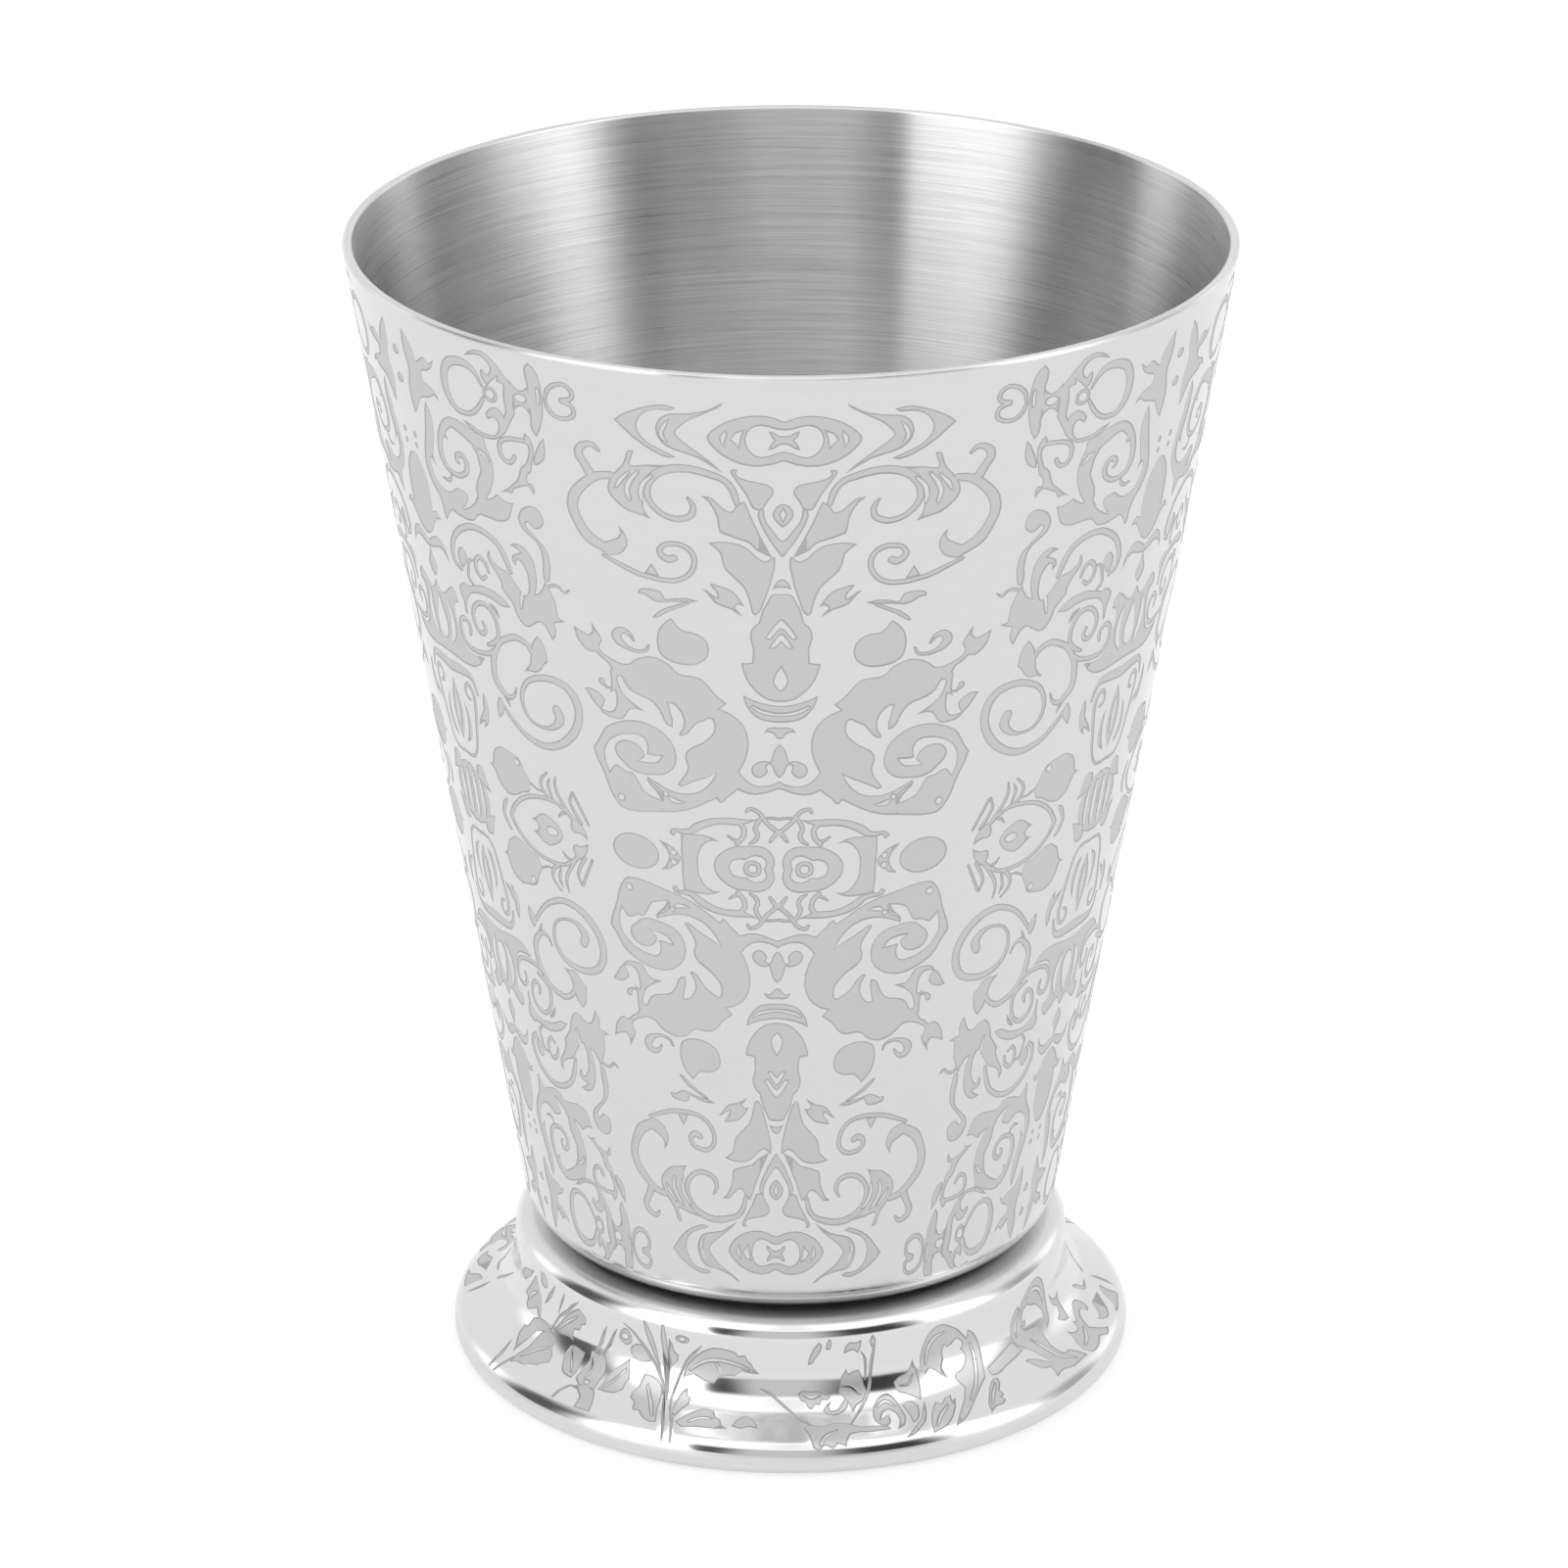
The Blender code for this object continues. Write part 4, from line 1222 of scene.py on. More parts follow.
# Leaf sprigs of the foot: half of its turn, with millimetres counted down its skin
SPRIGS = (
    Motif("tall fern", """
    vine -61,11.5,.25 -60.1,10.3,.4 -59.7,9.2,.3
    vine -64.5,8.1,.12 -63.4,9.1,.4 -62.6,10.2,.45 -62.8,11.5,.25
    vine -57.4,5,.2 -56.6,4.1,.35 -55.4,3 -53,2.1,.4 -51.4,1.3,.45 -48.8,.2,.12
    vine -56,2.8,.12 -55,1.7,.35 -54.2,.9,.4 -53.6,.2,.12
    vine -61.6,2.9,.12 -60,2,.5 -58.8,1.3,.6 -57.2,.1,.15
    leaf -59.6,5.8! -58.6,5.1 -56,4.9 -54.2,5.2! -54.1,6.1 -52.6,6.8 -52,7.6! -53.2,8 -53.6,8.5!
      -55.2,8.8 -56.4,9.3! -58,9.4 -59.4,9.9! -59.8,9 -59.6,7.4
    leaf -61.2,8.9! -62.2,8.3 -63.6,7.7 -65,7.1 -65.7,6.1! -64.6,6 -64.3,5! -62.6,4.6 -60.2,4.4 -58,4.6
      -56.6,5! -58.4,5.4 -60.4,5.6 -61.2,6.2 -61.3,7.6
    leaf -71.7,3.8! -70.2,2.9 -68,1.8 -65.9,.7! -64.4,1.5 -63.3,2.6 -62.6,3.8 -61.8,4.7! -63.2,4.5
      -64.4,4! -66,4.4 -67.6,4.8 -69.2,4.6 -69.9,3.9!
    leaf -63.4,-.2! -61.6,-.3 -60.2,.2! -60.4,1 -62,1.2 -63.3,1!
    bare vine -69.2,4,.08 -67.6,3.1,.2 -65.6,2.5,.08
    bare vine -58.8,8.6,.08 -57.2,7.2,.2 -55,6.3,.08"""),
    Motif("toothed leaf", """
    leaf -56.2,4.5! -55,3.6 -53.2,2.5 -51,1.6 -48.8,.9! -47.6,1.3 -46.5,1.6! -46.7,2.3 -48,2.6! -48.4,3.2
      -50,3.4! -50.2,4 -49.4,4.5! -51.6,4.4 -53.6,4.6!
    leaf -49.8,5! -48.6,4.8 -46.8,4.9 -45.4,5! -45.2,6.2 -44.9,7 -44.9,7.9! -46.2,7.9 -47.8,7.7 -49.2,7
      -50.2,6.1!
    bare vine -55,4.2,.08 -52.4,3,.18 -49.6,2,.08
    bare vine -48.8,5.4,.08 -47.6,6.2,.16 -46.2,7.2,.08"""),
    Motif("bowed flower", """
    leaf -43.9,8.7! -42.2,8.1 -40.5,7.9 -38.6,8.2 -37.4,9.2 -36.6,10.6! -40,10.7! -40.5,9.4 -41.9,8.8!
    vine -45.1,10.6,.25 -44.9,9.6,.35 -43.8,8.6,.25
    leaf -44.3,7.6! -44,6.4 -43.6,5.4 -44,4.6! -43.2,4.4 -42,4.6 -40.8,4.4 -39.6,4.9! -38.9,5.8 -39,7
      -38.8,8.1! -40.4,8.2 -42.6,8.2
    vine -42.8,4.6,.25 -42,3.4,.5 -41.4,2.4,.4 -40.6,1.4,.12
    vine -41,4.6,.2 -39.8,3.4,.4 -38.8,2.2,.35 -37.9,1.3,.12
    leaf -38.3,7.9! -38,6.6 -37.3,5.4 -36,4.8 -34.2,3.9! -33.7,4.7 -33.1,5.9! -33.6,6.4 -33.4,7
      -34.6,7.7! -36.4,7.9
    bare oval -41.4,7.6,.5,.2
    bare vine -43,5.2,.08 -42.2,6,.18 -42.4,7.2,.08
    bare vine -37.4,7.4,.08 -36,6.2,.18 -34.6,5.1,.08"""),
    Motif("long stem", """
    vine -36.2,.4,.12 -34,1,.3 -31.6,2,.35 -29.4,3.1 -27.4,4.3 -25.8,5.4 -24.8,6.6,.3 -23.6,8.4
      -22.6,10,.35 -21.9,11.5,.2
    leaf -37.4,2.2! -37,1.4 -35.8,.9 -34.6,1.2 -34,2 -34.6,2.5 -36,2.7
    leaf -34.2,2.6! -33,2.2 -31.4,2.2 -30.2,2.8 -29.2,3.5! -30.4,3.8 -32,3.9 -33.6,3.7 -34.4,3.2
    bare oval -35.8,1.8,.8,.3"""),
    Motif("broad plant", """
    vine -20.4,11.5,.2 -21,10.2,.35 -21.6,9 -22.6,7.8,.3 -23.2,6.4 -22.9,5 -22.3,3.8 -21.4,2.8,.35
      -20,1.9,.4 -18.2,.9,.12
    vine -31.1,-.4,.3 -30,.8,.7 -28.8,2.2,.6 -27.6,3.6,.3 -26.6,4.6,.12
    vine -26.8,-.4,.4 -26.6,.8,.7 -26.2,2.2,.65 -25.6,3.6,.45 -24.6,5.6,.3 -24,7,.12
    leaf -25.4,.7! -24.5,1.3 -24.2,2 -23.2,2.3! -23.4,3 -24.4,3.5 -25,4.2! -25.4,3 -25.6,1.8
    oval -22.4,.55,1.6,.45
    leaf -22,4.5! -21.7,3.6 -21,2.9 -19.8,2.2 -18.2,1.5 -16,.95 -13.4,.9 -11.2,1.15! -10.6,1.5 -9.2,1.4!
      -8.6,2 -7.9,2.3! -7.4,2.8 -6.2,3.3! -8,3.3 -9.8,3.1! -11,3.6 -12.8,3.7! -14.6,4 -15.4,4.6!
      -17.2,4.5 -18.8,4.2 -19.8,4!
    leaf -30.3,4.9! -28.6,4.9 -26.8,5.2 -25.5,6 -25.1,7 -24.9,8.2 -24,9.7! -25.6,9.8 -27.4,9.3 -28.2,8.8!
      -29.4,8.9 -30,8! -31.2,7.6 -31.4,7! -30.6,6.2
    leaf -22.3,8.2! -22.2,6.9 -21.6,5.9 -20.5,5.3! -20.3,6 -19.4,6.3! -19.5,7 -20.4,7.6 -21.2,8.6!
    leaf -20.8,9.2! -19.4,8.2 -17.8,7.5 -16,7.1 -14.4,7.3! -13.9,7.9 -12.8,8.2! -12.4,8.8 -11.2,9.2!
      -13.6,9.4 -16.4,9.4 -19.4,9.7!
    leaf -10.6,8.9! -9.8,8 -8.4,7.5 -7,7.8 -6.2,8.4 -5.8,9! -7.4,8.8 -8.8,9.1!
    bare oval -22.4,.55,.7,.16
    bare vine -20.6,3.6,.08 -18,2.6,.2 -14.8,2.2 -11.4,2.4,.18 -8.4,2.9,.06
    bare vine -15.4,2.5,.06 -14.6,3,.16 -13.8,3.5,.06
    bare vine -25.4,9,.08 -26.8,7.6,.2 -28.8,6,.08
    bare vine -18.4,8.9,.06 -16.6,8.3,.16 -14.6,8.2,.06"""),
    Motif("star plant", """
    leaf 2.2,8.7! 3.2,8.4 5.6,8.6 8,8.3 10.2,8.5 12.4,9 15,9.1 17.4,9.4 17.6,9.8! 14.4,9.8 12,9.7
      10.4,9.8! 9.7,10.4 9.3,11.2! 8,10.8 7,11.3 5.8,10.9 4.8,11.4 3.8,11.2! 3.4,10.2 2.9,9.4
    vine -6,4.7,.12 -4.2,5.1,.3 -2.2,5.9 0,6.9 2,7.9 4,8.6,.2
    vine 17.1,.4,.2 16.9,1.2,.35 16.5,2.6 16,4 15.4,5.3,.3 13.8,6.6 12,7.8 10.8,8.6,.2
    vine 14.2,1.2,.12 15,1.9,.3 15.2,3 15,4.2,.15
    leaf 1.3,5.2! 2.2,4.8 3.8,4.9 5.6,4.9 7,5.2 8.2,5.2! 7.2,5.8 6,5.8! 5.4,6.3 4.6,6.2! 4,6.7 3.2,6.5!
      2.8,6 1.9,5.8!
    leaf 6,6.9! 6.8,6.3 7.9,5.9! 7.3,6.5 7.6,6.9 8.8,6.8 10,6.1 10.8,5.6! 11.2,6 10.8,6.7 9.8,7.2 8,7.5
      6.8,7.3
    leaf 9.4,5.1! 9.7,4.4 10.2,3.6 11.2,2.9! 11.6,3.4 12.6,3.2 13.8,3.1! 14.4,3.8 14.6,4.6 15.2,5.3!
      14,6.2 12.6,6.6 11.6,7.3! 11.2,6.4 10.4,5.8
    leaf 3.4,2.3! 3.7,1.5 4.4,.7 5.6,-.1! 6.3,.2 5.9,1 5,1.7 4.2,2.2
    leaf 7,.7! 7.2,0 7.9,-.4 8.3,.2 7.8,.8!
    leaf 10.6,1.3! 11,.6 12,.1 13.2,.2 14.4,0! 14.2,.8 13.6,1.4! 12.6,1 11.6,1.1
    leaf 16,.2! 16.6,-.4 17.3,0 17.2,.8 16.4,.9!
    bare vine 2.4,5.2,.06 4,5.5,.16 5.6,5.3,.06
    bare vine 10.2,4.6,.08 11.8,4.7,.18 13.4,5.4,.06
    bare vine 5,10.8,.06 6,9.9,.18 8,9.3,.06"""),
    Motif("hooked leaf", """
    leaf 15.1,7.9! 15.8,6.8 17.2,6 19,5.8 20.2,6.4 20.9,7.6 21,8.8 20.2,9.6! 18.8,9.9 19.6,9 19.4,8
      18.4,7.5 17.2,7.7 16.5,8.4! 17,8.3 17.9,8.1 18.1,8.8 17.3,9.3 16.1,9.2! 15.3,8.7
    vine 25.6,7.4,.12 24.9,8.3,.4 24,9.3,.45 22.6,10,.5 21.2,10.6,.45 19.8,11,.12
    leaf 21.2,7.2! 22.4,6.9 23.4,7 24.2,7.6! 23.8,8.6 22.8,9.3 21.8,9.5! 21.9,8.8 21.6,8
    leaf 20.8,4.8! 22,4.4 23.6,4.2 24.6,3.7 25.3,2.9! 25.9,3.9 26.2,5 25.9,6.2 25.3,7.1! 24,6.6 22.8,6.2
      21.2,5.8
    bare vine 22,5.2,.06 23.8,5.2,.18 25.2,4.4,.06
    bare vine 16.4,7,.06 18.2,6.5,.16 19.8,7.2,.06"""),
    Motif("small ring curl", """
    leaf 26.9,4.4! 26.9,3.3 27.5,2.1 28.6,.9 30.2,.2 32,0 34,.35 36,1 37.6,1.9 38.4,2.3! 38.7,1.5! 40,1.9
      41.2,2.8 41.8,3.9 41.7,4.8 41.1,5.7 40.3,6.8! 39,7.2 37,8 35,8.9 33,9.8 31,10.5 28.8,11! 30.4,9.9
      32,9 33.6,8 34.8,7! 34.2,6.4 33.8,5.8 34.4,5.4 35.8,5.2! 36.8,4.9 37.5,4.3 37.4,3.7 36.6,3.3!
      37.3,2.9 36.6,2.3 35.5,2.1 34.7,2.5 33.6,2.7! 32.8,2.4 32.3,2.9 32.4,3.7 31.7,4.5! 32.4,5.7!
      31.2,5.2 30,4.6 28.8,4.3 27.8,4.7!
    leaf 24.6,11.1! 25.2,9.6 26.4,8.4 27.8,7.6! 28.6,8 30,7.4 31.4,7.3! 31,8 31.9,7.8! 31.2,8.6 29.6,9.7
      27.6,10.6
    leaf 36.4,10.7! 37,9.6 38.4,8.6 40,7.7 41.6,7.2 42.7,7.3! 42.2,8 41,8.6! 41.2,9.2 40.4,9.4! 40.6,9.9
      39.6,10.2! 38,10.2
    leaf 41.6,6! 44,5.6 47,5.2 50.4,4.7! 51.2,5.4 52.4,6! 50,6.3 46.4,6.6 43.4,7 41.8,6.9!
    bare vine 28.2,3.7,.06 28.9,2.2,.2 30.6,1.2 32.6,1,.06
    bare vine 39.2,3,.06 39.8,4,.2 39.4,5.4 37.6,7,.18 34.6,8.5,.06
    bare vine 25.8,10.4,.06 27.4,9.3,.18 29.6,8.4,.06
    bare vine 37.8,9.8,.06 39.2,8.8,.16 41.2,7.8,.06"""),
    Motif("large ring curl", """
    leaf 53.4,6.1! 51.4,5.3 50.9,4.2 51.5,3 52.6,2.2 54,1.7 54.8,2.2! 55.2,1.5 56.4,1 58,.4 60,.05 62,.05
      63.8,.6 65.2,1.6 66,3 65.7,4.2 64.6,5.2 62,5.8! 62.6,5 63.2,4! 62.2,3.4 61,2.9 59,2.6 57.4,2.2!
      56,2.6 55.4,3.6 56.5,3.5! 56.2,4.1 55,4.1 55.8,4.5 57.6,4.6 59.6,4.8! 60,6 59.6,7.4 60.2,8.6
      61.8,8.7! 63,9.4 64,10.4! 62,10.4 58.6,10.4 56,10 53.6,10.3! 54.2,9.6 54.5,9! 52.8,8.7 51.6,7.8
      50.9,7! 52.4,7.1 54.2,7.8 55.8,8.6! 55,7.4 54.4,6.7
    leaf 67,5.9! 68.6,5.6 69.6,5 68,4.4 67.6,3.2! 69,3.9 70.4,4.2 72.7,3.8! 71.4,4.8 71.2,6 70.6,6.7!
      69,6.6
    leaf 64.8,8.8! 65.9,8.2 66.2,7.3! 67.4,7.9 69,8 70.2,7.2! 71.4,7.4 73.4,6.7 75.6,6.2 77.6,6.3 78.7,7
      78.2,7.8 76.8,8! 76.4,7.4 74.8,7.3 73,7.9 71.8,8.8! 72.8,9.4 74.2,10.1 75.4,10.4! 73.4,10.8
      71,10.2! 68,10.7 65.4,10.6 64.4,9.8!
    leaf 75.4,8.5! 76.2,9.2 77.8,9.1 79.6,8.4 80.6,8.1 82.6,8.2 85.6,8.4! 83.4,9.1 81,9.8 78.4,10.1
      76.4,9.6!
    leaf 81.4,10.7! 84,10.3 85.4,9.4 87,8.8 88.8,8.6! 88.6,9.6 88.8,10.6 86,10.8 83.6,10.9
    vine 81.2,5.6,.3 82.8,6.1,.6 84.4,6.9,.5 88,6.9,.15
    bare vine 52.2,4.6,.06 52.8,3.4,.2 54.2,2.7,.06
    bare vine 57.4,1.5,.06 60,1,.25 63,1.7,.22 64.4,3.2,.06
    bare vine 55.8,5.6,.06 57.6,6.8,.25 58.6,8.6,.22 61.2,9.8,.06
    bare vine 66,9.6,.06 68.4,9.2,.2 70.8,8.4,.06"""),
    Motif("side leaves", """
    leaf -75.4,2.4! -72.6,1.3 -69,.8 -66.6,.4! -68.6,1.4 -71,2.2 -73.4,2.8
    vine -83,4.4,.12 -85.4,5.4,.4 -88.4,6.7,.5
    leaf -88.9,7.6! -87.8,8.4 -87.9,9.6 -88.8,10.4! -88.9,9"""),
)


class MirrorTree(ShapeTree):
    """Makes a whole repeat out of its right half."""

    def __init__(self) -> None:
        """Build the tree."""
        super().__init__("mirror a half")
        copy = self.wire("GeometryNodeTransform", {0: self.shape, "Scale": (-1.0, 1.0, 1.0)})
        flipped = self.wire("GeometryNodeFlipFaces", {0: copy})
        both = self.node("GeometryNodeJoinGeometry", {0: self.shape})
        self.tree.links.new(flipped.socket, both.inputs[0])
        self.shape = Wire(self, both.outputs[0])
        self.close()


class WrapTree(ShapeTree):
    """Repeats a flat strip and wraps it round the Z axis along a turned profile.

    A flat point is the angle around, the height in the drawing and the depth below the skin.
    """

    def __init__(self) -> None:
        """Build the tree."""
        super().__init__("wrap round a profile")
        profile = self.input("Profile", "NodeSocketObject")
        start = self.input("Run At Zero")
        rate = self.input("Run Per Height")
        repeats = self.input("Repeats", "NodeSocketInt")
        span = self.input("Span")
        phase = self.input("Phase")
        twist = self.input("Twist")
        merge = self.input("Merge Distance")
        finishes = [self.input(kind.name, "NodeSocketMaterial") for kind in Skin]
        step = self.wire("ShaderNodeCombineXYZ", {0: span})
        row = self.wire("GeometryNodeMeshLine", {"Count": repeats, "Offset": step})
        self.shape = self.wire("GeometryNodeInstanceOnPoints", {"Points": row, "Instance": self.shape})
        self.step("GeometryNodeRealizeInstances")
        angle, height, depth = self.split(self.wire("GeometryNodeInputPosition"))
        curve = self.wire("GeometryNodeObjectInfo", {"Object": profile}, "Geometry")
        run = {"Curves": curve, "Length": start + height * rate}
        sample = self.node("GeometryNodeSampleCurve", run, mode="LENGTH")
        radius, _, level = self.split(Wire(self, sample.outputs["Position"]))
        outward, _, downward = self.split(Wire(self, sample.outputs["Tangent"]))
        normal_out, normal_up = 0.0 - downward, outward
        turn = angle + phase + height * twist
        sine, cosine = turn.math("SINE", turn), turn.math("COSINE", turn)
        normal = self.turned(normal_out, normal_up, sine, cosine)
        place = self.turned(radius - depth * normal_out, level - depth * normal_up, sine, cosine)
        stored = {"Name": "skin_normal", "Value": normal}
        self.step("GeometryNodeStoreNamedAttribute", stored, data_type="FLOAT_VECTOR")
        self.step("GeometryNodeSetPosition", {"Position": place})
        self.step("GeometryNodeMergeByDistance", {"Distance": merge})
        kind = self.wire("GeometryNodeInputNamedAttribute", {"Name": "kind"}, "Attribute", data_type="INT")
        for value, finish in zip(Skin, finishes):
            chosen = kind.math("COMPARE", kind, float(value), 0.5)
            self.step("GeometryNodeSetMaterial", {"Selection": chosen, "Material": finish})
        self.close()

    def turned(self, outward: Wire, upward: Wire, sine: Wire, cosine: Wire) -> Wire:
        """Return a vector turned round the Z axis, from the -Y side.

        Args:
            outward: its part away from the axis.
            upward: its part along the axis.
            sine: sine of the turn.
            cosine: cosine of the turn.

        Returns:
            The vector.
        """
        across = 0.0 - outward * cosine
        return self.wire("ShaderNodeCombineXYZ", {0: outward * sine, 1: across, 2: upward})


def arc(center: Point, radius: float, start: float, end: float) -> list[Point]:
    """Return points along an arc of a turned outline, both ends included.

    Args:
        center: the arc's centre as radius and height.
        radius: the arc's own radius.
        start: the first angle, from the outward direction towards up.
        end: the last angle.

    Returns:
        The points.
    """
    steps = max(2, math.ceil(abs(end - start) / ARC_STEP - TINY))
    angles = [start + (end - start) * step / steps for step in range(steps + 1)]
    return [(center[0] + radius * math.cos(angle), center[1] + radius * math.sin(angle)) for angle in angles]


def runs(points: list[Point]) -> np.ndarray:
    """Return the length of an outline up to each of its points."""
    return np.cumsum([0.0] + [math.dist(first, second) for first, second in zip(points, points[1:])])


def part_of_run(points: list[Point], start: float, end: float) -> list[Point]:
    """Return the points of an outline whose run lies between two lengths.

    Args:
        points: the outline.
        start: run where the part starts.
        end: run where it ends.

    Returns:
        The points in between.
    """
    return [point for point, run in zip(points, runs(points)) if start <= run <= end]


def disc(edge: Point, shares: tuple[float, ...]) -> list[Point]:
    """Return a level disc's outline.

    Args:
        edge: the disc's edge, which is left out.
        shares: shares of its radius.

    Returns:
        The points, inwards.
    """
    return [(edge[0] * share, edge[1]) for share in shares]


@dataclass
class TurnedPiece:
    """A turned piece of sheet metal whose outer skin is etched.

    Attributes:
        name: the piece's name.
        node: the CAD node that it stands for.
        slot: the record's material slot, which is not used.
        finishes: its polished, edge and frosted skin, and the finish of the rest.
        etch: depth of the etching.
        turns: how often the drawing repeats.
    """

    name: str
    node: str
    slot: str
    finishes: tuple[Finish, ...]
    etch: float = 0.05 * MM
    turns: int = 1

    def etcher(self) -> Etcher:
        """Return what cuts the piece's flat strip."""
        raise NotImplementedError

    def skin_profile(self) -> list[Point]:
        """Return the outer skin's outline, from the top down."""
        raise NotImplementedError

    def wrap_values(self) -> dict[str, float]:
        """Return the wrap's inputs that place the drawing on the skin."""
        raise NotImplementedError

    def rings_above(self) -> Rings:
        """Return the outlines that close the skin's upper end, each with its finish's place."""
        raise NotImplementedError

    def rings_below(self) -> Rings:
        """Return the outlines that close the skin's lower end, each with its finish's place."""
        raise NotImplementedError

    def build(self) -> None:
        """Build the piece, closed and dressed."""
        mesh = self.wrapped_skin()
        self.close(mesh)
        self.shade(mesh)
        piece = linked(self.name, mesh)
        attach(piece, "root")
        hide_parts(self.node)
        LOG.info("%s: %d faces", self.name, len(mesh.polygons))

    def wrapped_skin(self) -> bpy.types.Mesh:
        """Return the etched skin, wrapped round and open at both ends."""
        materials = [finish.make() for finish in self.finishes]
        cutter = self.etcher()
        flat = cutter.cut(f"{self.name}_strip", self.etch)
        strip = linked(flat.name, flat)
        profile = self.profile_curve()
        if cutter.chart.upright:
            MirrorTree().attach(strip, {})
        WrapTree().attach(strip, {
            "Profile": profile,
            "Repeats": self.turns,
            "Span": math.tau / self.turns,
            "Merge Distance": MERGE_DISTANCE,
            **self.wrap_values(),
            **{kind.name: material for kind, material in zip(Skin, materials)},
        })
        evaluated = strip.evaluated_get(bpy.context.evaluated_depsgraph_get())
        mesh = bpy.data.meshes.new_from_object(evaluated)
        bpy.data.objects.remove(strip)
        bpy.data.objects.remove(profile)
        mesh.name = self.name
        mesh.materials.clear()
        for material in materials:
            mesh.materials.append(material)
        return mesh

    def profile_curve(self) -> bpy.types.Object:
        """Return the outer skin's outline as a curve in the XZ plane."""
        curve = bpy.data.curves.new(f"{self.name}_profile", "CURVE")
        curve.dimensions = "3D"
        points = self.skin_profile()
        spline = curve.splines.new("POLY")
        spline.points.add(len(points) - 1)
        for point, (radius, height) in zip(spline.points, points):
            point.co = (radius, 0.0, height, 1.0)
        return linked(curve.name, curve)

    def close(self, mesh: bpy.types.Mesh) -> None:
        """Close both ends of the wrapped skin with turned rings.

        Args:
            mesh: the skin's mesh.
        """
        shape = bmesh.new()
        shape.from_mesh(mesh)
        kinds = shape.faces.layers.int["kind"]
        for face in shape.faces:
            face.material_index = face[kinds]
        points = {vertex for edge in shape.edges if edge.is_boundary for vertex in edge.verts}
        middle = sum(vertex.co.z for vertex in points) / len(points)
        for upper, rings in ((True, self.rings_above()), (False, self.rings_below())):
            ring = [vertex for vertex in points if (vertex.co.z > middle) == upper]
            ring.sort(key=lambda vertex: math.atan2(vertex.co.y, vertex.co.x))
            for outline, finish in rings:
                ring = self.grow(shape, ring, outline, finish)
        bmesh.ops.recalc_face_normals(shape, faces=shape.faces)
        shape.to_mesh(mesh)
        shape.free()
        mesh.shade_smooth()

    @staticmethod
    def grow(
        shape: bmesh.types.BMesh, ring: list[bmesh.types.BMVert], outline: list[Point], finish: int
    ) -> list[bmesh.types.BMVert]:
        """Run a ring of points along an outline.

        Args:
            shape: the mesh that grows.
            ring: the ring that the outline goes on from.
            outline: the points of the outline, which may end on the axis.
            finish: place of the new faces' finish.

        Returns:
            The last ring.
        """
        for radius, height in outline:
            if radius < MERGE_DISTANCE:
                following = [shape.verts.new((0.0, 0.0, height))]
                corners = [(a, b, *following) for a, b in zip(ring, ring[1:] + ring[:1])]
            else:
                around = [vertex.co.xy.normalized() * radius for vertex in ring]
                following = [shape.verts.new((*place, height)) for place in around]
                pairs = list(zip(ring, following))
                corners = [(a[0], b[0], b[1], a[1]) for a, b in zip(pairs, pairs[1:] + pairs[:1])]
            for face in corners:
                shape.faces.new(face).material_index = finish
            ring = following
        return ring

    @staticmethod
    def shade(mesh: bpy.types.Mesh) -> None:
        """Give the skin the smooth profile's normals, and an etched edge its own.

        Args:
            mesh: the closed mesh.
        """
        corners = np.empty(len(mesh.loops), np.int32)
        mesh.loops.foreach_get("vertex_index", corners)
        skin = np.empty(len(mesh.vertices) * 3, np.float32)
        mesh.attributes["skin_normal"].data.foreach_get("vector", skin)
        normals = skin.reshape(-1, 3)[corners]
        sizes = np.empty(len(mesh.polygons), np.int32)
        mesh.polygons.foreach_get("loop_total", sizes)
        kinds = np.empty(len(mesh.polygons), np.int32)
        mesh.attributes["kind"].data.foreach_get("value", kinds)
        flat = np.empty(len(mesh.polygons) * 3, np.float32)
        mesh.polygons.foreach_get("normal", flat)
        edge = np.repeat(kinds == Skin.EDGE, sizes)
        normals[edge] = np.repeat(flat.reshape(-1, 3), sizes, axis=0)[edge]
        mesh.normals_split_custom_set(normals)
        for name in ("skin_normal", "kind"):
            mesh.attributes.remove(mesh.attributes[name])


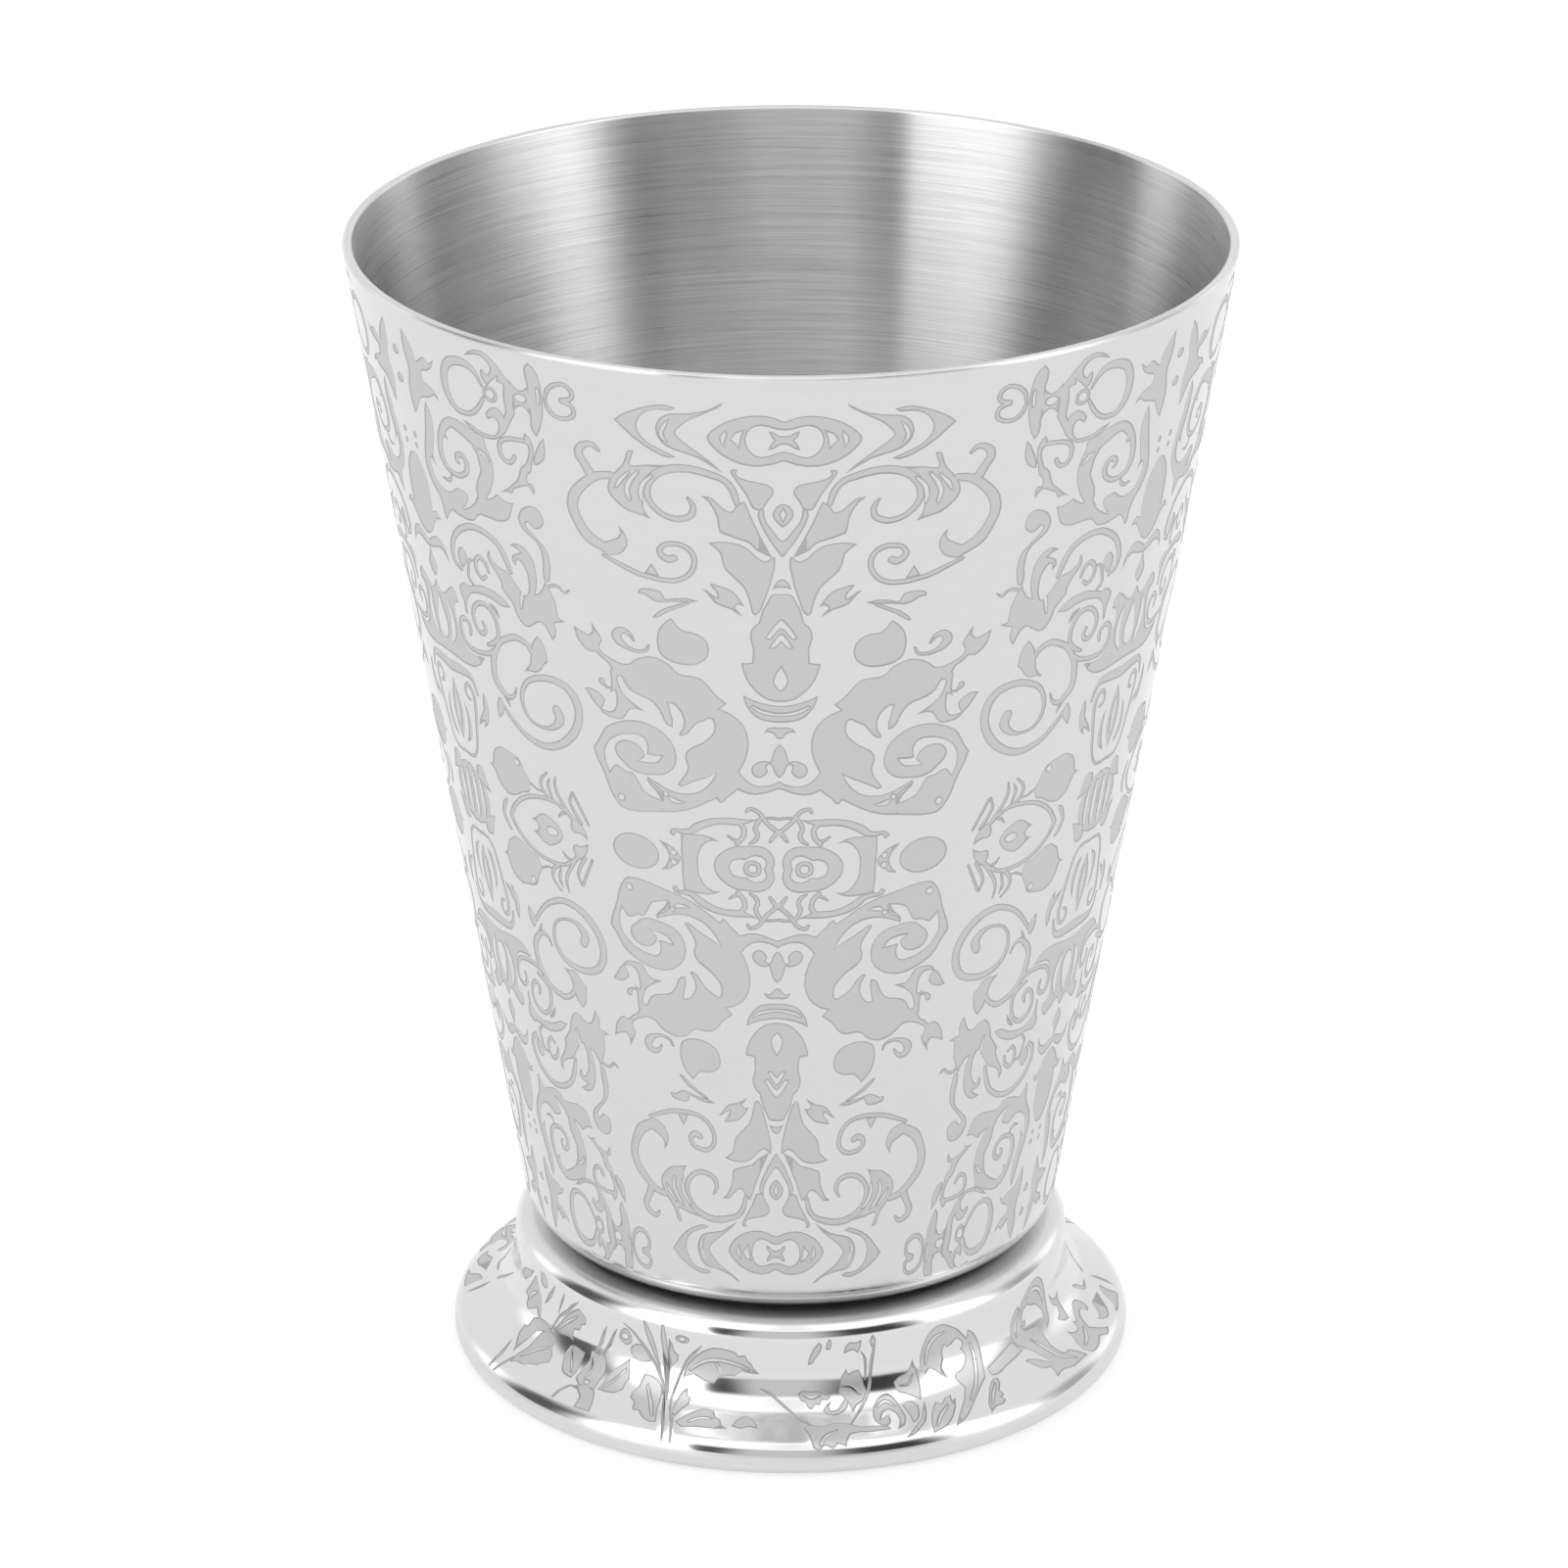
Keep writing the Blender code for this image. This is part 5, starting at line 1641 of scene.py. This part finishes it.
@dataclass
class Cup(TurnedPiece):
    """The drawn cup with its scrollwork.

    Attributes:
        base_radius: radius of the wall's line at the underside.
        rim_radius: radius of the wall's line at the rim.
        wall: thickness of the sheet.
        inner_bend: radius of the bend between wall and floor, inside.
        rim_edge: radius of the rim's edges.
        mirror_height: height of the scrollwork's level mirror line.
        degree: millimetres that one degree of the scrollwork is drawn as.
        lower_scale: scale of the scrollwork below the level mirror line.
        arch: how far the lower scrollwork is arched upwards, in millimetres of the drawing.
        phase: angle of the scrollwork's first mirror line.
        twist: how far the scrollwork turns with height, per metre.
        turns: how often the scrollwork repeats.
        standing_bead: how far the ring that sits on the foot reaches below the floor's flat.
        bead_width: how far that ring reaches inwards from the end of the bend.
        skin_start: how far the etched skin's upper end lies below the rim's edge, in millimetres.
        skin_end: height of the etched skin's lower end above the floor's flat, on the wall's line.
    """

    base_radius: float = 25.85 * MM
    rim_radius: float = 41.998 * MM
    wall: float = 0.9 * MM
    inner_bend: float = 3.2 * MM
    rim_edge: float = 0.3 * MM
    mirror_height: float = 63.45 * MM
    degree: float = 0.64
    lower_scale: float = 0.984
    arch: float = 2.0
    phase: float = math.radians(-1.95)
    twist: float = math.radians(25.0)
    turns: int = 3
    standing_bead: float = 0.7 * MM
    bead_width: float = 2.8 * MM
    skin_start: float = 0.1
    skin_end: float = 2.1 * MM

    def __post_init__(self) -> None:
        """Take the heights from the CAD node."""
        low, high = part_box(self.node)
        self.bottom = low.z
        self.top = high.z
        self.taper = math.atan2(self.rim_radius - self.base_radius, self.top - self.bottom)

    def wall_radius(self, height: float, depth: float) -> float:
        """Return the wall's radius.

        Args:
            height: height above the standing surface.
            depth: distance into the wall.

        Returns:
            The radius.
        """
        outer = self.base_radius + (height - self.bottom) * math.tan(self.taper)
        return outer - depth / math.cos(self.taper)

    def bend(self, height: float, radius: float, depth: float) -> list[Point]:
        """Return the bend from the wall to a level face below it.

        Args:
            height: height of the level face.
            radius: the bend's radius.
            depth: depth of the wall's face.

        Returns:
            The bend's points, from the wall down.
        """
        center = (self.wall_radius(height + radius, depth + radius), height + radius)
        return arc(center, radius, -self.taper, -math.pi / 2)

    def etcher(self) -> Etcher:
        """Return what cuts the right half of a repeat."""
        half = 180.0 / self.turns
        below = (self.mirror_height - self.bottom - self.skin_end) / MM
        above = (self.top - self.rim_edge - self.mirror_height) / MM - self.skin_start
        return Etcher(
            chart=Chart(self.degree, (0.0, half), (SCROLL_DATUM,)),
            motifs=SCROLLWORK,
            low=(0.0, SCROLL_DATUM - below),
            high=(half, SCROLL_DATUM + above),
            step_around=2.5,
            step_along=3.0,
            lower_scale=self.lower_scale,
            arch=self.arch,
            datum=SCROLL_DATUM,
        )

    def skin_profile(self) -> list[Point]:
        """Return the outer wall's line and its bend, from the rim down."""
        bend = self.bend(self.bottom - self.standing_bead, self.inner_bend + self.wall, 0.0)
        return [(self.wall_radius(self.top, 0.0), self.top)] + bend

    def wrap_values(self) -> dict[str, float]:
        """Return the wrap's inputs that place the scrollwork on the wall."""
        slant = math.cos(self.taper)
        return {
            "Run At Zero": (self.top - self.mirror_height) / slant,
            "Run Per Height": -1 / slant,
            "Phase": self.phase,
            "Twist": self.twist,
        }

    def rings_above(self) -> Rings:
        """Return the rim, the inner wall and the floor, which are all brushed."""
        quarter = math.pi / 2
        height = self.top - self.rim_edge
        outer = (self.wall_radius(height, self.rim_edge), height)
        inner = (self.wall_radius(height, self.wall - self.rim_edge), height)
        rim = arc(outer, self.rim_edge, -self.taper, quarter)
        rim += arc(inner, self.rim_edge, quarter, math.pi - self.taper)
        floor_height = self.bottom + self.wall
        bend = self.bend(floor_height, self.inner_bend, self.wall)
        levels = np.linspace(height - WALL_ENDS[0], floor_height + self.inner_bend + WALL_ENDS[1], INNER_ROWS)
        wall = [(self.wall_radius(level, self.wall), level) for level in levels]
        return [(rim + wall + bend + disc(bend[-1], FLOOR_SHARES), BRUSHED)]

    def rings_below(self) -> Rings:
        """Return the rest of the outer bend, and the underside."""
        skin_run = (self.top - self.bottom - self.skin_end) / math.cos(self.taper)
        bend = part_of_run(self.skin_profile(), skin_run + CLEARANCE, math.inf)
        flat = (bend[-1][0] - self.bead_width, self.bottom)
        return [(bend + disc(flat, UNDERSIDE_SHARES), int(Skin.POLISHED))]


@dataclass
class Foot(TurnedPiece):
    """The spun foot with its leaf sprigs.

    Attributes:
        sheet: thickness of the sheet.
        neck_radius: radius of the straight neck.
        shoulder: outer radius of the shoulder's bend.
        neck: length of the straight neck.
        cove: radius of the cove.
        slope: angle of the flange below level.
        flange: length of the flange.
        lip: outer radius of the lip's bend.
        skirt: length of the straight skirt.
        hem: outer radius of the hem's bend.
        hem_width: width of the standing hem's flat.
        turns: how often the sprigs repeat.
        degree: millimetres that one degree of the sprigs is drawn as.
        skin_start: run of the etched skin's upper end, in millimetres from the shoulder's end.
        skin_end: run of its lower end.
        polished_rows: how many rows of the shoulder above the etched skin are polished too.
    """

    sheet: float = 0.8 * MM
    neck_radius: float = 27.3 * MM
    shoulder: float = 1.9 * MM
    neck: float = 2.5 * MM
    cove: float = 4.6 * MM
    slope: float = math.radians(25.0)
    flange: float = 2.57 * MM
    lip: float = 2.1 * MM
    skirt: float = 0.4 * MM
    hem: float = 0.9 * MM
    hem_width: float = 2.0 * MM
    turns: int = 2
    degree: float = 0.506
    skin_start: float = -0.9
    skin_end: float = 11.9
    polished_rows: int = 6

    def sheet_outline(self, depth: float) -> list[Point]:
        """Return the sheet's outline from the edge of the top to the end of the hem's bend.

        Args:
            depth: distance into the sheet.

        Returns:
            The outline's points.
        """
        quarter = math.pi / 2
        sine, cosine = math.sin(self.slope), math.cos(self.slope)
        lip_level = self.hem + self.skirt
        cove_radius = self.neck_radius + self.cove
        cove_end = cove_radius - self.cove * sine
        lip_center = cove_end + self.flange * cosine - self.lip * sine
        cove_level = lip_level + self.flange * sine + (self.lip + self.cove) * cosine
        shoulder_center = (self.neck_radius - self.shoulder, cove_level + self.neck)
        return (
            arc(shoulder_center, self.shoulder - depth, quarter, 0.0)
            + arc((cove_radius, cove_level), self.cove + depth, math.pi, 3 * quarter - self.slope)
            + arc((lip_center, lip_level), self.lip - depth, quarter - self.slope, 0.0)
            + arc((lip_center + self.lip - self.hem, self.hem), self.hem - depth, 0.0, -quarter)
        )

    def skin_profile(self) -> list[Point]:
        """Return the outer skin's outline, from the edge of the top down."""
        return self.sheet_outline(0.0)

    def shoulder_run(self) -> float:
        """Return the length of the shoulder's bend along the drawn outline."""
        outline = self.skin_profile()
        neck_top = outline[0][1] - self.shoulder
        return float(runs([point for point in outline if point[1] >= neck_top - TINIEST])[-1])

    def etcher(self) -> Etcher:
        """Return what cuts one repeat."""
        half = 180.0 / self.turns
        return Etcher(
            chart=Chart(self.degree),
            motifs=SPRIGS,
            low=(-half, self.skin_start),
            high=(half, self.skin_end),
            step_around=2.0,
            step_along=0.4,
        )

    def wrap_values(self) -> dict[str, float]:
        """Return the wrap's inputs that place the sprigs on the skin."""
        return {"Run At Zero": self.shoulder_run(), "Run Per Height": 1.0}

    def rings_above(self) -> Rings:
        """Return the rest of the shoulder, and the top."""
        end = self.shoulder_run() + self.skin_start * MM - CLEARANCE
        shoulder = part_of_run(self.skin_profile(), 0.0, end)[::-1]
        polished, brushed = shoulder[:self.polished_rows], shoulder[self.polished_rows:]
        return [(polished, int(Skin.POLISHED)), (brushed + disc(shoulder[-1], FOOT_SHARES), BRUSHED)]

    def rings_below(self) -> Rings:
        """Return the skirt, the hem and the inside of the sheet."""
        start = self.shoulder_run() + self.skin_end * MM + CLEARANCE
        hem = part_of_run(self.skin_profile(), start, math.inf)
        hem_end = hem[-1][0] - self.hem_width
        inner = self.sheet_outline(self.sheet)[::-1]
        standing = [(hem_end, 0.0), (hem_end, self.sheet)]
        return [(hem + standing + inner + disc(inner[-1], FOOT_SHARES), BRUSHED)]


@dataclass
class Braze:
    """The filler between the cup's floor and the foot, which keeps its CAD shape."""

    node: str = "braze_ring"
    finish: Etch = Etch(
        "braze filler", tone=0.62, roughness=0.5, tone_change=0.12, grain=0.3 * MM, relief=0.01 * MM
    )

    def dress(self) -> None:
        """Give the CAD node its finish."""
        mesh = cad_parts[self.node].data
        mesh.materials.clear()
        mesh.materials.append(self.finish.make())
        LOG.info("%s: dressed", self.node)


@dataclass(frozen=True)
class Zone:
    """A zone of the light tent, in degrees from the front towards the right and up from level.

    Attributes:
        around: where it starts and ends around.
        fade_around: how far each of those edges fades.
        up: where it starts and ends in height.
        fade_up: how far each of those edges fades.
        level: its light, where the plain tent has 1.
        lean: how far its edges lean round, in degrees for each degree up.
    """

    around: Point
    fade_around: Point
    up: Point
    fade_up: Point
    level: float
    lean: float = 0.0

    def mask(self, graph: Graph, azimuth: Wire, elevation: Wire) -> Wire:
        """Return 1 inside the zone, 0 outside, and a smooth step along its edges.

        Args:
            graph: the tent's nodes.
            azimuth: the angle around.
            elevation: the angle up.

        Returns:
            The mask.
        """
        if self.lean:
            azimuth = azimuth - self.lean * elevation
        masks = []
        sides = ((azimuth, self.around, self.fade_around), (elevation, self.up, self.fade_up))
        for angle, (first, last), (rise, fall) in sides:
            masks.append(graph.ramp(angle, first - rise / 2, first + rise / 2))
            masks.append(graph.ramp(angle, last + fall / 2, last - fall / 2))
        return masks[0] * masks[1] * (masks[2] * masks[3])


@dataclass
class Studio:
    """A pale floor in a white room, and a light tent that only the metal shows.

    Attributes:
        room_light: strength of the room's light on matt surfaces.
        floor_size: width of the floor.
        floor_tone: grey of the floor.
        floor_glow: strength of the floor's own white, seen directly and in reflections.
        tent_radius: radius of the light tent.
        tent_steps: how many faces the tent has around.
        tent_rows: how many rows of faces it has from the floor up.
        zones: the tent's zones, each over the ones before it.
        camera_place: where the camera stands.
        camera_tilt: how far it looks down.
        focal_length: its focal length, in widths of the picture.
    """

    room_light: float = 0.85
    floor_size: float = 12.0
    floor_tone: float = 0.85
    floor_glow: float = 0.36
    tent_radius: float = 3.0
    tent_steps: int = 72
    tent_rows: int = 22
    zones: tuple[Zone, ...] = (
        Zone((-75.0, 75.0), (40.0, 40.0), (45.0, 120.0), (8.0, 6.0), 1.5),
        Zone((-12.0, 12.0), (14.0, 14.0), (50.0, 80.0), (10.0, 10.0), 1.2),
        Zone((-36.0, 50.0), (3.0, 14.0), (7.0, 42.0), (6.0, 8.0), 0.05),
        Zone((-20.0, 16.0), (14.0, 22.0), (7.0, 42.0), (6.0, 8.0), 0.75),
        Zone((-66.0, -29.0), (14.0, 2.0), (2.0, 66.0), (6.0, 12.0), 2.35, -0.22),
        Zone((57.0, 86.0), (12.0, 18.0), (2.0, 66.0), (6.0, 12.0), 2.2),
        Zone((-127.0, -109.0), (14.0, 14.0), (4.0, 24.0), (12.0, 20.0), 1.6),
        Zone((122.0, 140.0), (14.0, 14.0), (4.0, 24.0), (12.0, 20.0), 1.4),
        Zone((-106.0, -79.0), (14.0, 14.0), (-5.0, 42.0), (6.0, 30.0), 0.12),
        Zone((95.0, 117.0), (16.0, 14.0), (-5.0, 26.0), (6.0, 22.0), 0.52),
    )
    camera_place: tuple[float, float, float] = (-0.000647, -0.59569, 0.30300)
    camera_tilt: float = 0.3907
    focal_length: float = 4.2456527

    def build(self) -> None:
        """Build the room, the floor, the light tent and the camera."""
        scene = bpy.context.scene
        scene.view_settings.view_transform = "Standard"
        scene.world = self.white_room()
        self.lay_floor()
        self.pitch_tent()
        scene.camera = self.camera()

    def seen(self, graph: Graph) -> Wire:
        """Return 1 for rays from the camera or off a glossy surface, and 0 for the rest.

        Args:
            graph: the nodes that ask.

        Returns:
            The mark.
        """
        path = graph.node("ShaderNodeLightPath")
        direct, glossy = (Wire(graph, path.outputs[name]) for name in ("Is Camera Ray", "Is Glossy Ray"))
        return direct + glossy

    def white_room(self) -> bpy.types.World:
        """Return a room that is white where it is seen, and a little softer as a light."""
        world = bpy.data.worlds.new("white room")
        graph = emptied(world)
        soft = graph.wire("ShaderNodeBackground", {"Color": grey(1.0), "Strength": self.room_light})
        white = graph.wire("ShaderNodeBackground", {"Color": grey(1.0), "Strength": 1.0})
        mixed = graph.wire("ShaderNodeMixShader", {0: self.seen(graph), 1: soft, 2: white})
        graph.node("ShaderNodeOutputWorld", {"Surface": mixed})
        return world

    def lay_floor(self) -> None:
        """Lay the pale floor."""
        half = self.floor_size / 2
        mesh = bpy.data.meshes.new("floor")
        corners = [(-half, -half, 0), (half, -half, 0), (half, half, 0), (-half, half, 0)]
        mesh.from_pydata(corners, [], [(0, 1, 2, 3)])
        material = bpy.data.materials.new("pale floor")
        graph = emptied(material)
        matt = graph.wire("ShaderNodeBsdfDiffuse", {"Color": grey(self.floor_tone)})
        glow = graph.wire("ShaderNodeEmission", {"Color": grey(1.0), "Strength": self.floor_glow})
        none = graph.wire("ShaderNodeEmission", {"Color": grey(0.0), "Strength": 0.0})
        extra = graph.wire("ShaderNodeMixShader", {0: self.seen(graph), 1: none, 2: glow})
        both = graph.wire("ShaderNodeAddShader", {0: matt, 1: extra})
        graph.node("ShaderNodeOutputMaterial", {"Surface": both})
        mesh.materials.append(material)
        linked("floor", mesh)

    def pitch_tent(self) -> None:
        """Pitch the light tent that the metal reflects: a dome that stands on the floor."""
        shape = bmesh.new()
        bmesh.ops.create_uvsphere(
            shape, u_segments=self.tent_steps, v_segments=2 * self.tent_rows, radius=self.tent_radius
        )
        sunk = [vertex for vertex in shape.verts if vertex.co.z < -CLEARANCE]
        bmesh.ops.delete(shape, geom=sunk, context="VERTS")
        mesh = bpy.data.meshes.new("light tent")
        shape.to_mesh(mesh)
        shape.free()
        mesh.materials.append(self.tent_cloth())
        tent = linked("light tent", mesh)
        tent.visible_camera = False
        tent.visible_diffuse = False
        tent.visible_shadow = False

    def tent_cloth(self) -> bpy.types.Material:
        """Return the tent's own light: white, with brighter and darker zones."""
        material = bpy.data.materials.new("light tent")
        graph = emptied(material)
        x, y, z = graph.split(graph.place())
        azimuth = x.math("ARCTAN2", x, 0.0 - y) * math.degrees(1)
        elevation = z.math("ARCSINE", z * (1 / self.tent_radius)) * math.degrees(1)
        color = grey(1.0)
        for zone in self.zones:
            color = graph.mixed(zone.mask(graph, azimuth, elevation), color, grey(zone.level))
        glow = graph.wire("ShaderNodeEmission", {"Color": color, "Strength": 1.0})
        graph.node("ShaderNodeOutputMaterial", {"Surface": glow})
        material.cycles.emission_sampling = "NONE"
        return material

    def camera(self) -> bpy.types.Object:
        """Return the camera, where the photo was taken from."""
        camera = bpy.data.cameras.new("camera")
        camera.lens = camera.sensor_width * self.focal_length
        holder = linked("camera", camera)
        holder.location = self.camera_place
        holder.rotation_euler = (math.pi / 2 - self.camera_tilt, 0.0, 0.0)
        return holder


def main() -> None:
    """Build the tumbler and its studio."""
    logging.basicConfig(level=logging.INFO, format="%(name)s %(message)s")
    polished = Steel("polished steel", tone=0.665, roughness=0.15)
    brushed = Steel(
        "brushed inside", tone=0.7, roughness=0.29, tone_change=0.4, sheen_change=0.06, line_length=16 * MM,
        line_pitch=0.22 * MM, stretch=1.0,
    )
    # The edge faces really slope, and their tone is set darker than the frosted etch's: painted shade along the
    # etched outlines, on top of the shading that their slope gives
    edge = Etch("etch edge", tone=0.43, roughness=0.5)
    frosted = Etch("frosted etch", tone=0.58, roughness=0.55)
    Cup("etched_cup", "cup_body", "etched_steel", (polished, edge, frosted, brushed)).build()
    mirror = Steel(
        "mirror steel", tone=0.71, roughness=0.13, tone_change=0.01, sheen_change=0.01, lay=Lay.FOOT
    )
    satin = Steel("satin sheet", tone=0.7, roughness=0.34, tone_change=0.08, lay=Lay.FOOT)
    # As on the cup, the edge's darker tone is painted shade along the sprigs' outlines, beside the shading of
    # their real slope
    edge = Etch("foot etch edge", tone=0.38, roughness=0.45)
    frosted = Etch("foot frosted etch", tone=0.56, roughness=0.45)
    Foot("mirror_foot", "foot", "mirror_steel", (mirror, edge, frosted, satin), etch=0.04 * MM).build()
    Braze().dress()
    Studio().build()


if __name__ == "__main__":
    main()
